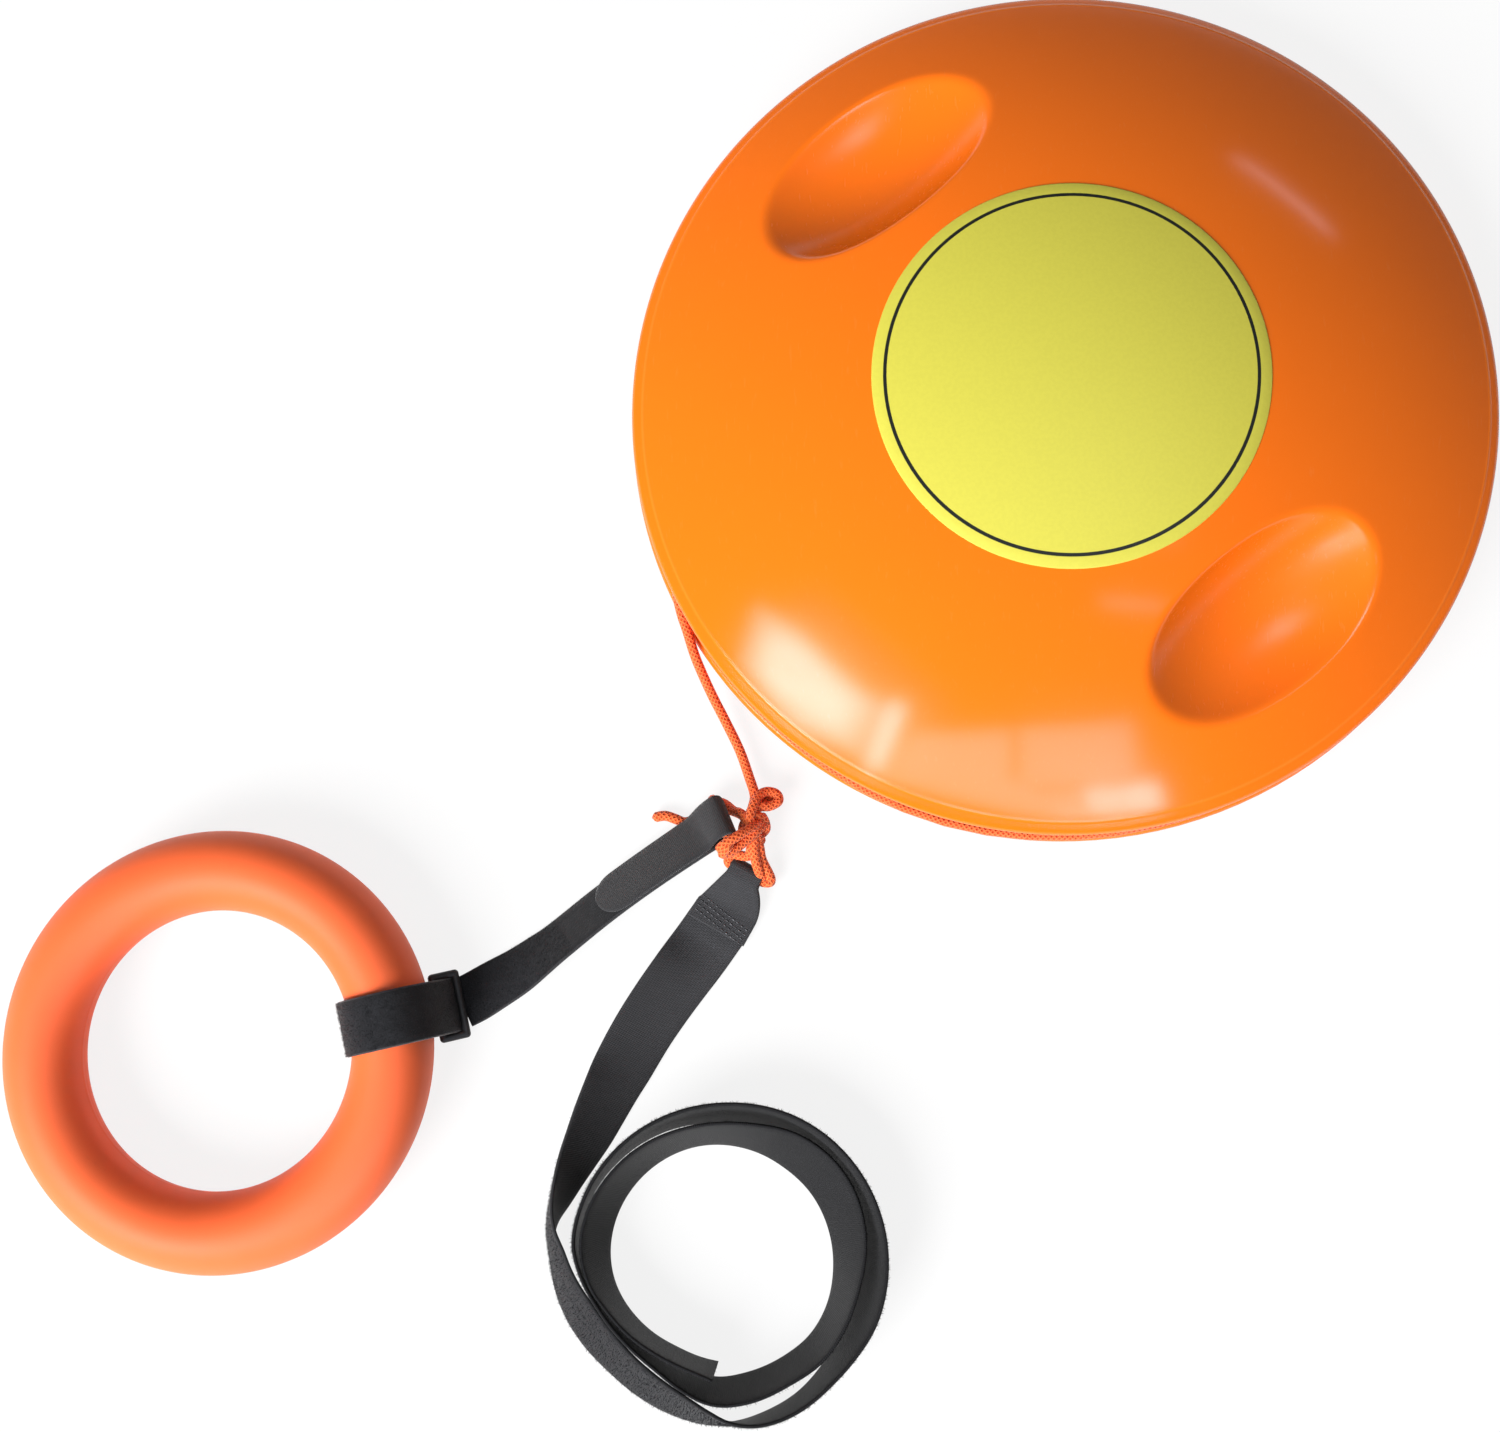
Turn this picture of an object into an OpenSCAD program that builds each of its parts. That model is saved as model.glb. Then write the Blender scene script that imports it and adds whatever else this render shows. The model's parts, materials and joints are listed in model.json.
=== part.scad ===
// Rescue throwing disc: a hollow two-shell disc with a floating line wound in its rim groove,
// a rubber hand ring on a cinch strap and a long coiled strap, both tied to the line's end.
// Millimetres. The origin is on the disc's axis, in the plane of its foot; +Z is up.

/* [Disc] */
// Diameter of the upper rim
disc_d = 330; // [310:1:360]
// Height of the dome's crown above the foot
crown_h = 78; // [75:0.5:88]
// Opening of the groove between the two beads, where the line runs out
groove_gap = 10.1; // [9:0.1:12]
// Wall of both shells
wall = 3; // [2.4:0.1:3.6]
// Radius of the bead round the upper rim
bead_r = 3; // [2.5:0.1:3.5]
// How far the lower flange stands out past the upper rim
flange_out = 1.5; // [0.5:0.1:3]
// Radius of the bead round the lower flange
flange_bead_r = 2.4; // [2:0.1:3]
// Radius of curvature of the underside
saucer_r = 600; // [560:5:700]
// Width of the flat foot that the disc stands on
foot_w = 30; // [26:0.5:34]
// Distance from the foot's outer edge to the drum that carries the line
drum_step = 8; // [6:0.5:12]

/* [Grip recesses] */
// Direction of the first grip recess, seen from above
grip_az = 128.5; // [0:0.5:180]
// Distance of a grip recess from the disc's axis
grip_r = 113; // [108:0.5:118]
// Length of a grip recess along the rim
grip_len = 101; // [90:1:108]
// Width of a grip recess across the rim
grip_w = 64; // [56:1:68]
// Depth of a grip recess
grip_depth = 16; // [12:0.5:18]

/* [Closure] */
// Number of screws that hold the shells together
screw_count = 6; // [6:6:6]
// Diameter of the screw's shank
screw_d = 4; // [3:0.1:5]
// Diameter of the screw's head
screw_head_d = 8; // [7:0.1:9]
// Height of the screw's head
screw_head_h = 3; // [2:0.1:3.5]
// Length of the screw's shank
screw_len = 20; // [16:0.5:22]
// Height of the plane where the screw posts meet
post_h = 12; // [11:0.5:14]
// Height of the seal's section
seal_h = 2.4; // [2:0.1:3]

/* [Label] */
// Diameter of the round label on the crown
label_d = 144; // [120:1:150]
// Thickness of the label
label_t = 0.3; // [0.2:0.05:0.6]

/* [Line] */
// Diameter of the line
rope_d = 4; // [3.5:0.1:4.4]
// Distance from the upper rim to the knot that ties the line to the straps
knot_out = 35.4; // [30:0.2:60]

/* [Hand ring] */
// Radius of the ring's centreline
ring_major = 69; // [60:0.5:75]
// Diameter of the ring's section
ring_tube_d = 31; // [26:0.5:33]
// Room round the ring in the recess that stows it
stow_gap = 3.5; // [2:0.5:6]

/* [Ring strap] */
// Width of the ring's strap
strap_w = 20; // [16:0.5:22]
// Thickness of both straps
strap_t = 1.4; // [1:0.1:1.6]
// Room between the ring and the strap's loop
loop_gap = 1.4; // [1.3:0.1:2]
// Diameter of the buckle's bars
bar_d = 3.2; // [2.6:0.1:3.6]
// Distance between the buckle's two cross bars
bar_gap = 9; // [8.5:0.1:12]
// Slope of the buckle, which leans on the ring
buckle_slope = 20; // [15:1:25]

/* [Long strap] */
// Width of the long strap
long_strap_w = 25; // [20:0.5:27]
// Radius of the strap's coil where it begins
coil_r = 62; // [58:0.5:66]

/* [Hidden] */
$fn = 96;

// Clearance between pieces that pass or turn on one another
clear = 0.3;
// Clearance between pieces that are fixed to one another
seat = 0.05;
rope_r = rope_d / 2;

disc_r = disc_d / 2;

// Underside, as a sphere that the flange's bead touches from inside
ring_r = ring_tube_d / 2;
recess_r = ring_major + ring_r + stow_gap;
recess_h = ring_tube_d + 1;
foot_r = recess_r + foot_w;
saucer_z = sqrt(pow(saucer_r, 2) - pow(foot_r, 2));
flange_r = disc_r + flange_out - flange_bead_r;
flange_z = saucer_z - sqrt(pow(saucer_r - flange_bead_r, 2) - pow(flange_r, 2));
flange_top = flange_z + flange_bead_r;

// Dome, as a sphere through the crown that the rim's bead touches from inside
rim_r = disc_r - bead_r;
rim_low = flange_top + groove_gap;
rim_z = rim_low + bead_r;
dome_h = crown_h - rim_z;
dome_r = (pow(dome_h, 2) + pow(rim_r, 2) - pow(bead_r, 2)) / (2 * (dome_h - bead_r));
dome_z = crown_h - dome_r;
groove_z = (flange_top + rim_low) / 2;

// Grip recesses, each cut by a torus whose tube points down the dome's own normal
grip_slope = asin(grip_r / dome_r);
grip_z = dome_z + dome_r * cos(grip_slope);
grip_tube = cut_radius(grip_w / 2);
grip_sweep = cut_radius(grip_len / 2) - grip_tube;
grip_low = grip_z - (grip_depth + wall) * cos(grip_slope)
    - (grip_tube + wall) * pow(sin(grip_slope), 2) / (2 * cos(grip_slope));

// Drum, skirt and seal between the shells
drum_r = foot_r + drum_step;
drum_in = drum_r - wall;
drum_top = grip_low - 2.4;
skirt_r = drum_in - clear;
skirt_t = 4;
skirt_in = skirt_r - skirt_t;
skirt_low = drum_top - 10;
seal_depth = 1.8;
seal_z = drum_top - 5;

// Screw posts, between the recess and the skirt and clear of the grip recesses
post_r = (recess_r + wall + skirt_in) / 2;
post_wall = 2;
screw_az = grip_az + 180 / screw_count;
head_pocket_d = screw_head_d + 1;
head_z = post_h / 2;

// Pocket in the drum that holds the knot at the line's inner end
anchor_az = grip_az - 60;
anchor_z = 13;
anchor_knot_r = 4.4;
pocket_in = [12, 14, 13];
pocket_out = pocket_in + [wall - 1, 4, 4];

// The free parts are drawn round one place of the knot, and lie where the knot lies beside the disc
knot_drawn = [-120, -160.5];
knot_az = atan2(knot_drawn[1], knot_drawn[0]);
knot_xy = (disc_r + knot_out) * [cos(knot_az), sin(knot_az)];
lay = knot_xy - knot_drawn;

// Ring, loop and buckle, placed from the point where the strap leaves the buckle
bar_r = bar_d / 2;
bar_drawn = [-234, -228.5];
bar_xy = bar_drawn + lay;
loop_az = 13;
ring_az = 10;
loop_in = ring_r + loop_gap;
loop_out = loop_in + strap_t;
loop_z = loop_out;
front_bar_z = strap_t + clear + bar_r;
rear_bar_z = front_bar_z + bar_gap * sin(buckle_slope);
rear_bar_x = bar_gap * cos(buckle_slope);
bar_to_loop = loop_out + bar_r + 0.4;
loop_x = rear_bar_x + sqrt(pow(bar_to_loop, 2) - pow(loop_z - rear_bar_z, 2));
loop_xy = bar_xy - loop_x * [cos(loop_az), sin(loop_az)];
// The loop is straight and the ring is round, so the loop sits a little inside the ring's centreline
loop_shift = 0.8;
ring_xy = loop_xy - (ring_major - loop_shift) * [cos(ring_az), sin(ring_az)];
// The strap under one side tilts the ring
ring_tilt = asin((loop_gap + strap_t) / (2 * ring_major));
ring_z = ring_r + ring_major * sin(ring_tilt);
buckle_w = strap_w + 2 * clear + bar_d;

// Radius of the strap's fold round the line, at the middle of the strap's thickness
fold_r = rope_r + clear + strap_t / 2;

// Ring strap from the buckle to its fold: x, y, roll about its length, height of its lower edge
strap_rows = [
    [bar_drawn[0], bar_drawn[1], 0, 0],
    [-228.5, -225.8, -2.5, 0],
    [-221, -221.5, -11, 0.1],
    [-211.5, -216, -22, 0.1],
    [-203, -210, -32, 0.1],
    [-195, -204, -38, 0.2],
    [-178, -190.5, -39, 1],
    [-160.5, -178, -39, 3],
    [-142.5, -166, -37, 5],
    [-136, -161.8, -35, 5],
    [-130.5, -159.2, -33, 5]
];
strap_path = smooth(laid(strap_rows), 4);
strap_points = [for (i = [0 : len(strap_path) - 1]) ribbon_point(strap_path[i], strap_w)];
strap_sides = [for (i = [0 : len(strap_path) - 1]) ribbon_side(strap_path, i)];
strap_last = len(strap_points) - 1;
fold_side = strap_sides[strap_last];
fold_run = run(strap_points, strap_last);
fold_up = unit(cross(fold_run, fold_side));
fold_centre = strap_points[strap_last] + fold_r * fold_up;
fold_angles = [-75 : 15 : 90];

// Hook tab that comes back over the strap: where it ends, and how it closes on the strap
tab_first = 24;
tab_close = 8;
tab_gap = strap_t + 0.2;

// Long strap from its sewn eye to its coil: x, y and roll about its length
eye_run = unit([9.1, 16.1, 0]);
eye_side = [eye_run[1], -eye_run[0], 0];
eye_end = [-130.6 + lay[0], -194.1 + lay[1], 0];
eye_len = 18.5;
eye_w = 14;
eye_centre = eye_end + eye_len * eye_run + [0, 0, strap_t / 2 + fold_r];
// Upper layer of the eye: distance along the strap and height over the lower layer
eye_upper = [[-7, 0], [-3.5, 0], [0, 0], [3.5, 0.05], [7, 0.3], [11, 0.62], [15, 0.93]];
lead_rows = [
    [-139, -206, 0],
    [-147, -217, -12],
    [-154.5, -227.5, -20],
    [-162, -239, -26],
    [-169, -251, -33],
    [-175.5, -263, -42],
    [-182, -275, -56],
    [-187.5, -287.5, -69]
];
coil_xy = [-133, -325.5] + lay;
// Coil as drawn for one radius: angle, radius and roll; its inner turns are pushed in on one side
coil_drawn = 62;
coil_rows = [
    [160, 62.4, -82], [180, 62, -95], [200, 59.2, -113], [220, 53.5, -128], [240, 51, -134],
    [255, 52.3, -124], [270, 56, -108], [285, 57.6, -92], [305, 58.6, -84], [325, 59.2, -79],
    [345, 59.8, -72], [370, 60.2, -66], [395, 60.2, -65], [420, 59, -66], [450, 56.4, -70],
    [490, 55.2, -82], [530, 54.2, -93], [555, 50, -92], [570, 45.5, -91], [585, 41.6, -90],
    [600, 39.6, -90], [615, 40.3, -87], [630, 43, -80], [645, 44.4, -76], [665, 46.6, -76],
    [690, 48.2, -76], [715, 49.4, -66], [735, 51.4, -55], [755, 52.2, -49], [775, 51.2, -51],
    [795, 49.4, -62], [820, 48.4, -70], [850, 47.8, -73], [885, 47, -73], [910, 45, -77],
    [930, 40.6, -83], [945, 38, -88], [960, 36.7, -90], [975, 37.1, -90], [990, 38.6, -87]
];

// Routes of the line where it lies free
// Where the line leaves the groove: direction, distance from the rim and from the groove's middle
lead_start = [[203.95, -2.4, -0.6], [206, -0.8, -0.8], [208.27, 0.8, -1.1]];
lead_rest = [
    [-144.2, -84, 19], [-141.5, -93, 16.5], [-139, -99.5, 13.5], [-135, -108.5, 9.5], [-130.2, -118, 6.5],
    [-124.4, -130, 5.5], [-120.5, -141, 6.3], [-119, -149, 7.2], [-119.4, -155, 7.5]
];
lead_route = concat(
    [for (s = lead_start) [(disc_r + s[1]) * cos(s[0]), (disc_r + s[1]) * sin(s[0]), groove_z + s[2]]],
    laid(lead_rest)
);
knot_centre = [knot_xy[0], knot_xy[1], 7.4];
knot_turn = 4.6;
tail_route = [
    [-124.5, -161, 3.4], [-130, -162.3, 2.6], [-136, -162.2, 2.4], [-142, -160, 2.4],
    [-147.5, -157, 2.4], [-153, -155.2, 2.4], [-158, -155.6, 2.4]
];
ring_bight_half = strap_w / 2 + 2;
strap_bight_half = eye_w / 2 + 2.2;

// Rows of the drawing of the free parts, where they lie
function laid(rows) = [for (row = rows) [row[0] + lay[0], row[1] + lay[1], for (k = [2 : len(row) - 1]) row[k]]];

// Radius of a cut that is as deep as a grip recess where the dome is half as wide as given
function cut_radius(half) = 1 / (2 * (grip_depth / pow(half, 2) - 1 / (2 * dome_r)));

// Height of the underside's wall at a radius, on its lower or upper face
function saucer_at(r, inset) = saucer_z - sqrt(pow(saucer_r - inset, 2) - pow(r, 2));

function unit(v) = v / norm(v);
function run(points, i) = unit(points[min(i + 1, len(points) - 1)] - points[max(i - 1, 0)]);

// Smooth curve through rows of numbers, with a number of steps between rows
function between(a, b, c, d, u) =
    0.5 * (2 * b + (c - a) * u + (2 * a - 5 * b + 4 * c - d) * u * u + (3 * b - a - 3 * c + d) * u * u * u);
function smooth(rows, steps) = let (
        last = len(rows) - 1,
        q = concat([2 * rows[0] - rows[1]], rows, [2 * rows[last] - rows[last - 1]])
    ) concat(
        [for (i = [0 : last - 1], k = [0 : steps - 1]) between(q[i], q[i + 1], q[i + 2], q[i + 3], k / steps)],
        [rows[last]]
    );

// Middle of a strap that rests on its lower edge, and the direction of its left edge
function ribbon_point(row, w) = [
    row[0], row[1],
    w / 2 * abs(sin(row[2])) + strap_t / 2 * abs(cos(row[2])) + (len(row) > 3 ? row[3] : 0)
];
function flat_run(path, i) = let (
        a = path[max(i - 1, 0)],
        b = path[min(i + 1, len(path) - 1)]
    ) unit([b[0] - a[0], b[1] - a[1], 0]);
function ribbon_side(path, i) = let (
        t = flat_run(path, i)
    ) cos(path[i][2]) * [-t[1], t[0], 0] + sin(path[i][2]) * [0, 0, 1];

// Place and roll of one row of the coil
function coil_place(row) = let (
        r = row[1] + coil_r - coil_drawn
    ) [coil_xy[0] + r * cos(row[0]), coil_xy[1] + r * sin(row[0]), row[2]];

// Closed solid through sections of equal point count
module skin(sections) {
    count = len(sections);
    n = len(sections[0]);
    walls = [for (i = [0 : count - 2], k = [0 : n - 1]) let (a = i * n + k, b = i * n + (k + 1) % n)
        each [[a, a + n, b + n], [a, b + n, b]]];
    first = [for (k = [0 : n - 1]) k];
    last = [for (k = [n - 1 : -1 : 0]) (count - 1) * n + k];
    polyhedron([for (s = sections) each s], concat([first], walls, [last]), convexity = 10);
}

// Strap along points, with the direction and the width of each cross-section
module strip(points, sides, widths) {
    skin([for (i = [0 : len(points) - 1]) let (
            up = unit(cross(run(points, i), sides[i])) * strap_t / 2,
            half = sides[i] * widths[i] / 2,
            p = points[i]
        ) [p - half - up, p + half - up, p + half + up, p - half + up]]);
}

// Line along a route, eight-sided
module line_along(points) {
    sides = 8;
    skin([for (i = [0 : len(points) - 1]) let (
            t = run(points, i),
            u = unit(cross([0.13, 0.21, 1], t)),
            v = cross(t, u)
        ) [for (k = [0 : sides - 1]) points[i] + rope_r * (cos(k * 360 / sides) * u + sin(k * 360 / sides) * v)]]);
}

module at_loop() {
    translate([loop_xy[0], loop_xy[1], loop_z]) rotate([0, 0, loop_az]) children();
}

module dome_solid(inset) {
    rotate_extrude($fn = 180) intersection() {
        translate([0, dome_z]) circle(dome_r - inset, $fn = 360);
        translate([0, rim_z]) square([rim_r, crown_h]);
    }
}

module grip_tool(extra) {
    for (az = [grip_az, grip_az + 180])
        rotate([0, 0, az])
            translate([grip_r, 0, grip_z])
                rotate([0, grip_slope, 0])
                    translate([0, 0, grip_sweep + grip_tube - grip_depth])
                        rotate([0, 90, 0])
                            rotate_extrude()
                                translate([grip_sweep, 0]) circle(grip_tube + extra);
}

module at_screws() {
    for (k = [0 : screw_count - 1])
        rotate([0, 0, screw_az + k * 360 / screw_count]) translate([post_r, 0, 0]) children();
}

module top_shell() {
    color("darkorange") difference() {
        union() {
            difference() {
                dome_solid(0);
                dome_solid(wall);
            }
            rotate_extrude($fn = 180) translate([rim_r, rim_z]) circle(bead_r, $fn = 48);
            intersection() {
                dome_solid(0);
                grip_tool(wall);
            }
            intersection() {
                translate([0, 0, skirt_low]) tube(skirt_r, skirt_in, crown_h);
                union() {
                    dome_solid(0);
                    translate([0, 0, skirt_low]) cylinder(r = rim_r, h = rim_z + 1 - skirt_low);
                }
            }
            intersection() {
                at_screws() translate([0, 0, post_h]) cylinder(d = screw_d + 2 * wall, h = crown_h);
                union() {
                    dome_solid(0);
                    cylinder(r = rim_r, h = rim_z + 1);
                }
            }
        }
        grip_tool(0);
        at_screws() translate([0, 0, post_h - 1]) cylinder(d = screw_d + 2 * seat, h = screw_len - head_z + 2);
        translate([0, 0, seal_z - seal_h / 2 - seat]) tube(skirt_r + 1, skirt_r - seal_depth, seal_h + 2 * seat);
    }
}

module tube(outer, inner, h) {
    difference() {
        cylinder(r = outer, h = h, $fn = 180);
        translate([0, 0, -1]) cylinder(r = inner, h = h + 2, $fn = 180);
    }
}

module saucer_profile() {
    intersection() {
        difference() {
            translate([0, saucer_z]) circle(saucer_r, $fn = 720);
            translate([0, saucer_z]) circle(saucer_r - wall, $fn = 720);
        }
        translate([foot_r - wall, 0]) square([flange_r - foot_r + wall, drum_top]);
    }
}

module bottom_profile() {
    saucer_profile();
    translate([flange_r, flange_z]) circle(flange_bead_r, $fn = 48);
    translate([recess_r, 0]) square([foot_w, wall]);
    translate([recess_r, 0]) square([wall, recess_h + wall]);
    translate([0, recess_h]) square([recess_r + wall, wall]);
    translate([drum_in, wall]) square([wall, drum_top - wall]);
}

module bottom_shell() {
    color("darkorange") difference() {
        union() {
            rotate_extrude($fn = 180) bottom_profile();
            at_screws() cylinder(d = head_pocket_d + 2 * post_wall, h = post_h);
            at_anchor() translate([-pocket_out[0], -pocket_out[1] / 2, -pocket_out[2] / 2])
                cube(pocket_out + [1, 0, 0]);
        }
        at_screws() translate([0, 0, -1]) cylinder(d = head_pocket_d, h = head_z + 1);
        at_screws() cylinder(d = screw_d + 0.4, h = post_h + 1);
        at_anchor() translate([-pocket_in[0], -pocket_in[1] / 2, -pocket_in[2] / 2]) cube(pocket_in);
        at_anchor() keyhole();
    }
}

module at_anchor() {
    rotate([0, 0, anchor_az]) translate([drum_in, 0, anchor_z]) children();
}

// The knot goes in through the round end and is held at the narrow one
module keyhole() {
    slot_w = rope_d + 2 * clear + 0.2;
    translate([-1, 7, 0]) rotate([0, 90, 0]) cylinder(r = anchor_knot_r + 0.4, h = wall + 3, $fn = 48);
    translate([-1, 0, -slot_w / 2]) cube([wall + 3, 7, slot_w]);
    translate([-1, 0, 0]) rotate([0, 90, 0]) cylinder(d = slot_w, h = wall + 3, $fn = 48);
}

module seal_ring() {
    color("black") translate([0, 0, seal_z - seal_h / 2])
        tube(drum_in - seat, skirt_r - seal_depth + seat, seal_h);
}

module shell_screws() {
    color("silver") at_screws() difference() {
        union() {
            translate([0, 0, head_z - screw_head_h]) cylinder(d = screw_head_d, h = screw_head_h, $fn = 48);
            cylinder_between(head_z, head_z + screw_len, screw_d);
        }
        for (turn = [0, 90]) rotate([0, 0, turn])
            translate([-screw_head_d / 4, -0.5, head_z - screw_head_h - 1]) cube([screw_head_d / 2, 1, 2.2]);
    }
}

module cylinder_between(z0, z1, d) {
    translate([0, 0, z0 - 0.5]) cylinder(d = d, h = z1 - z0 + 0.5, $fn = 48);
}

module label() {
    color("yellow") rotate_extrude($fn = 180) intersection() {
        difference() {
            translate([0, dome_z]) circle(dome_r + seat + label_t, $fn = 360);
            translate([0, dome_z]) circle(dome_r + seat, $fn = 360);
        }
        translate([0, rim_z]) square([label_d / 2, crown_h]);
    }
}

// Outer shape of the turns of line in the groove
module rope_winding() {
    inner = drum_r + clear;
    floor_r = flange_r - 4;
    neck_r = rim_r - bead_r - 0.6;
    color("orangered") rotate_extrude($fn = 180) polygon([
        [inner, saucer_at(inner, wall) + 0.4],
        [floor_r, saucer_at(floor_r, wall) + 0.4],
        [flange_r - 1, flange_top + 0.5],
        [disc_r, flange_top + 0.5],
        [disc_r, rim_low - 0.5],
        [neck_r, rim_low - 0.5],
        [neck_r - 2.5, min(rim_low + 4.5, drum_top - 1.5)],
        [neck_r - 8, drum_top - 1],
        [inner, drum_top - 1]
    ]);
}

// Stopper knot at the line's inner end, with the line's neck through the drum
module rope_anchor_knot() {
    color("orangered") at_anchor() {
        translate([-pocket_in[0] / 2, 0, 0]) sphere(anchor_knot_r, $fn = 48);
        translate([-pocket_in[0] / 2, 0, 0]) rotate([0, 90, 0])
            cylinder(r = rope_r, h = pocket_in[0] / 2 + wall + clear - seat, $fn = 48);
    }
}

module rope_lead() {
    color("orangered") line_along(smooth(lead_route, 2));
}

module rope_knot() {
    color("orangered") {
        knot_wrap(knot_centre, [0, 0, 0], knot_turn);
        knot_wrap(knot_centre + [0.6, -0.8, 0.6], [62, 0, 35], knot_turn);
        knot_wrap(knot_centre + [-0.8, -1.2, 0.4], [-58, 20, 0], knot_turn);
        knot_wrap(knot_centre + [6.8, 9, 0.4], [8, -10, 0], knot_turn - 1);
    }
}

module knot_wrap(centre, turn, r) {
    translate(centre) rotate(turn) rotate_extrude($fn = 48) translate([r, 0]) circle(rope_r, $fn = 32);
}

// Line through the fold of the ring's strap and back to the knot
module rope_ring_bight() {
    a = fold_centre + ring_bight_half * fold_side;
    b = fold_centre - ring_bight_half * fold_side;
    color("orangered") line_along(smooth([
        knot_centre + [-2.5, 3.5, 0.5],
        a + 6.6 * fold_run - 5 * fold_side,
        a + 5.8 * fold_run + 0.2 * fold_side,
        a + 3.2 * fold_run + 2.4 * fold_side,
        a + 0.4 * fold_run + 1.2 * fold_side,
        fold_centre + (ring_bight_half - 2) * fold_side,
        fold_centre,
        fold_centre - (ring_bight_half - 2) * fold_side,
        b + 0.4 * fold_run - 1 * fold_side,
        b + 3 * fold_run - 2 * fold_side,
        b + 5.8 * fold_run - 0.5 * fold_side - [0, 0, 3],
        knot_centre + [2, -2, 3]
    ], 3));
}

// Line through the long strap's eye and back to the knot
module rope_strap_bight() {
    a = eye_centre - strap_bight_half * eye_side;
    b = eye_centre + strap_bight_half * eye_side;
    color("orangered") line_along(smooth([
        knot_centre + [-1, -3, 0],
        a + 6 * eye_run + 1 * eye_side + [0, 0, 1.5],
        a + 2.8 * eye_run - 1 * eye_side + [0, 0, 0.5],
        a + 0.2 * eye_run - 0.4 * eye_side,
        eye_centre - (eye_w / 2 - 0.5) * eye_side,
        eye_centre + (eye_w / 2 - 0.5) * eye_side,
        b + 0.2 * eye_run + 0.4 * eye_side,
        b + 2.8 * eye_run + 1 * eye_side + [0, 0, 0.5],
        b + 6.5 * eye_run - 1.5 * eye_side + [0, 0, 1.5],
        knot_centre + [2, -2.5, 0]
    ], 3));
}

module rope_tail() {
    color("orangered") line_along(smooth(laid(tail_route), 2));
}

module hand_ring() {
    color("tomato") translate([ring_xy[0], ring_xy[1], ring_z])
        rotate([0, 0, ring_az]) rotate([0, -ring_tilt, 0])
            rotate_extrude($fn = 180) translate([ring_major, 0]) circle(ring_r);
}

// Strap round the ring and round the buckle's rear bar, in profile across the strap
module loop_profile() {
    bar = [loop_x - rear_bar_x, rear_bar_z - loop_z];
    end_r = bar_r + clear + strap_t;
    lean = acos((loop_out - end_r) / norm(bar));
    way = atan2(bar[1], bar[0]);
    difference() {
        union() {
            circle(loop_out);
            translate(bar) circle(end_r, $fn = 48);
            polygon([
                for (a = [way + lean, way - lean]) loop_out * [cos(a), sin(a)],
                for (a = [way - lean, way + lean]) bar + end_r * [cos(a), sin(a)]
            ]);
        }
        circle(loop_in);
        translate(bar) circle(bar_r + clear, $fn = 48);
    }
}

module ring_strap_loop() {
    color("dimgray") at_loop() rotate([90, 0, 0]) translate([0, 0, -strap_w / 2])
        linear_extrude(strap_w) loop_profile();
}

module buckle() {
    half = buckle_w / 2;
    color("black") translate([bar_xy[0], bar_xy[1], front_bar_z]) rotate([0, buckle_slope, loop_az]) {
        for (x = [0, -bar_gap]) translate([x, half, 0]) rotate([90, 0, 0]) cylinder(d = bar_d, h = 2 * half, $fn = 48);
        for (y = [-half, half]) translate([-bar_gap, y, 0]) rotate([0, 90, 0]) cylinder(d = bar_d, h = bar_gap, $fn = 48);
        for (x = [0, -bar_gap], y = [-half, half]) translate([x, y, 0]) sphere(d = bar_d, $fn = 48);
    }
}

// Strap from the buckle's front bar to its fold round the line
module ring_strap() {
    arc = [for (a = fold_angles) fold_centre + fold_r * (cos(a) * fold_run + sin(a) * fold_up)];
    back = [for (s = [0.5, 1]) fold_centre + fold_r * fold_up - s * fold_run];
    points = concat(strap_points, arc, back);
    sides = concat(strap_sides, [for (p = concat(arc, back)) fold_side]);
    color("dimgray") strip(points, sides, [for (p = points) strap_w]);
}

// Hook tab from the fold back over the strap to its rounded end
module ring_strap_tab() {
    ids = [for (i = [strap_last - 1 : -1 : tab_first]) i];
    ups = [for (i = ids) unit(cross(run(strap_points, i), strap_sides[i]))];
    gaps = [for (i = ids) let (u = min(1, (strap_last - i) / tab_close), s = u * u * (3 - 2 * u))
        2 * fold_r + (tab_gap - 2 * fold_r) * s];
    points = [for (k = [0 : len(ids) - 1]) strap_points[ids[k]] + gaps[k] * ups[k]];
    tip = points[len(points) - 1];
    tip_run = run(points, len(points) - 1);
    tip_side = strap_sides[tab_first];
    round_r = strap_w / 2;
    ends = [for (a = [20 : 20 : 80]) tip + tip_run * round_r * sin(a)];
    color("gray") strip(
        concat(points, ends),
        concat([for (i = ids) strap_sides[i]], [for (p = ends) tip_side]),
        concat([for (p = points) strap_w], [for (a = [20 : 20 : 80]) strap_w * cos(a)])
    );
}

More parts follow.
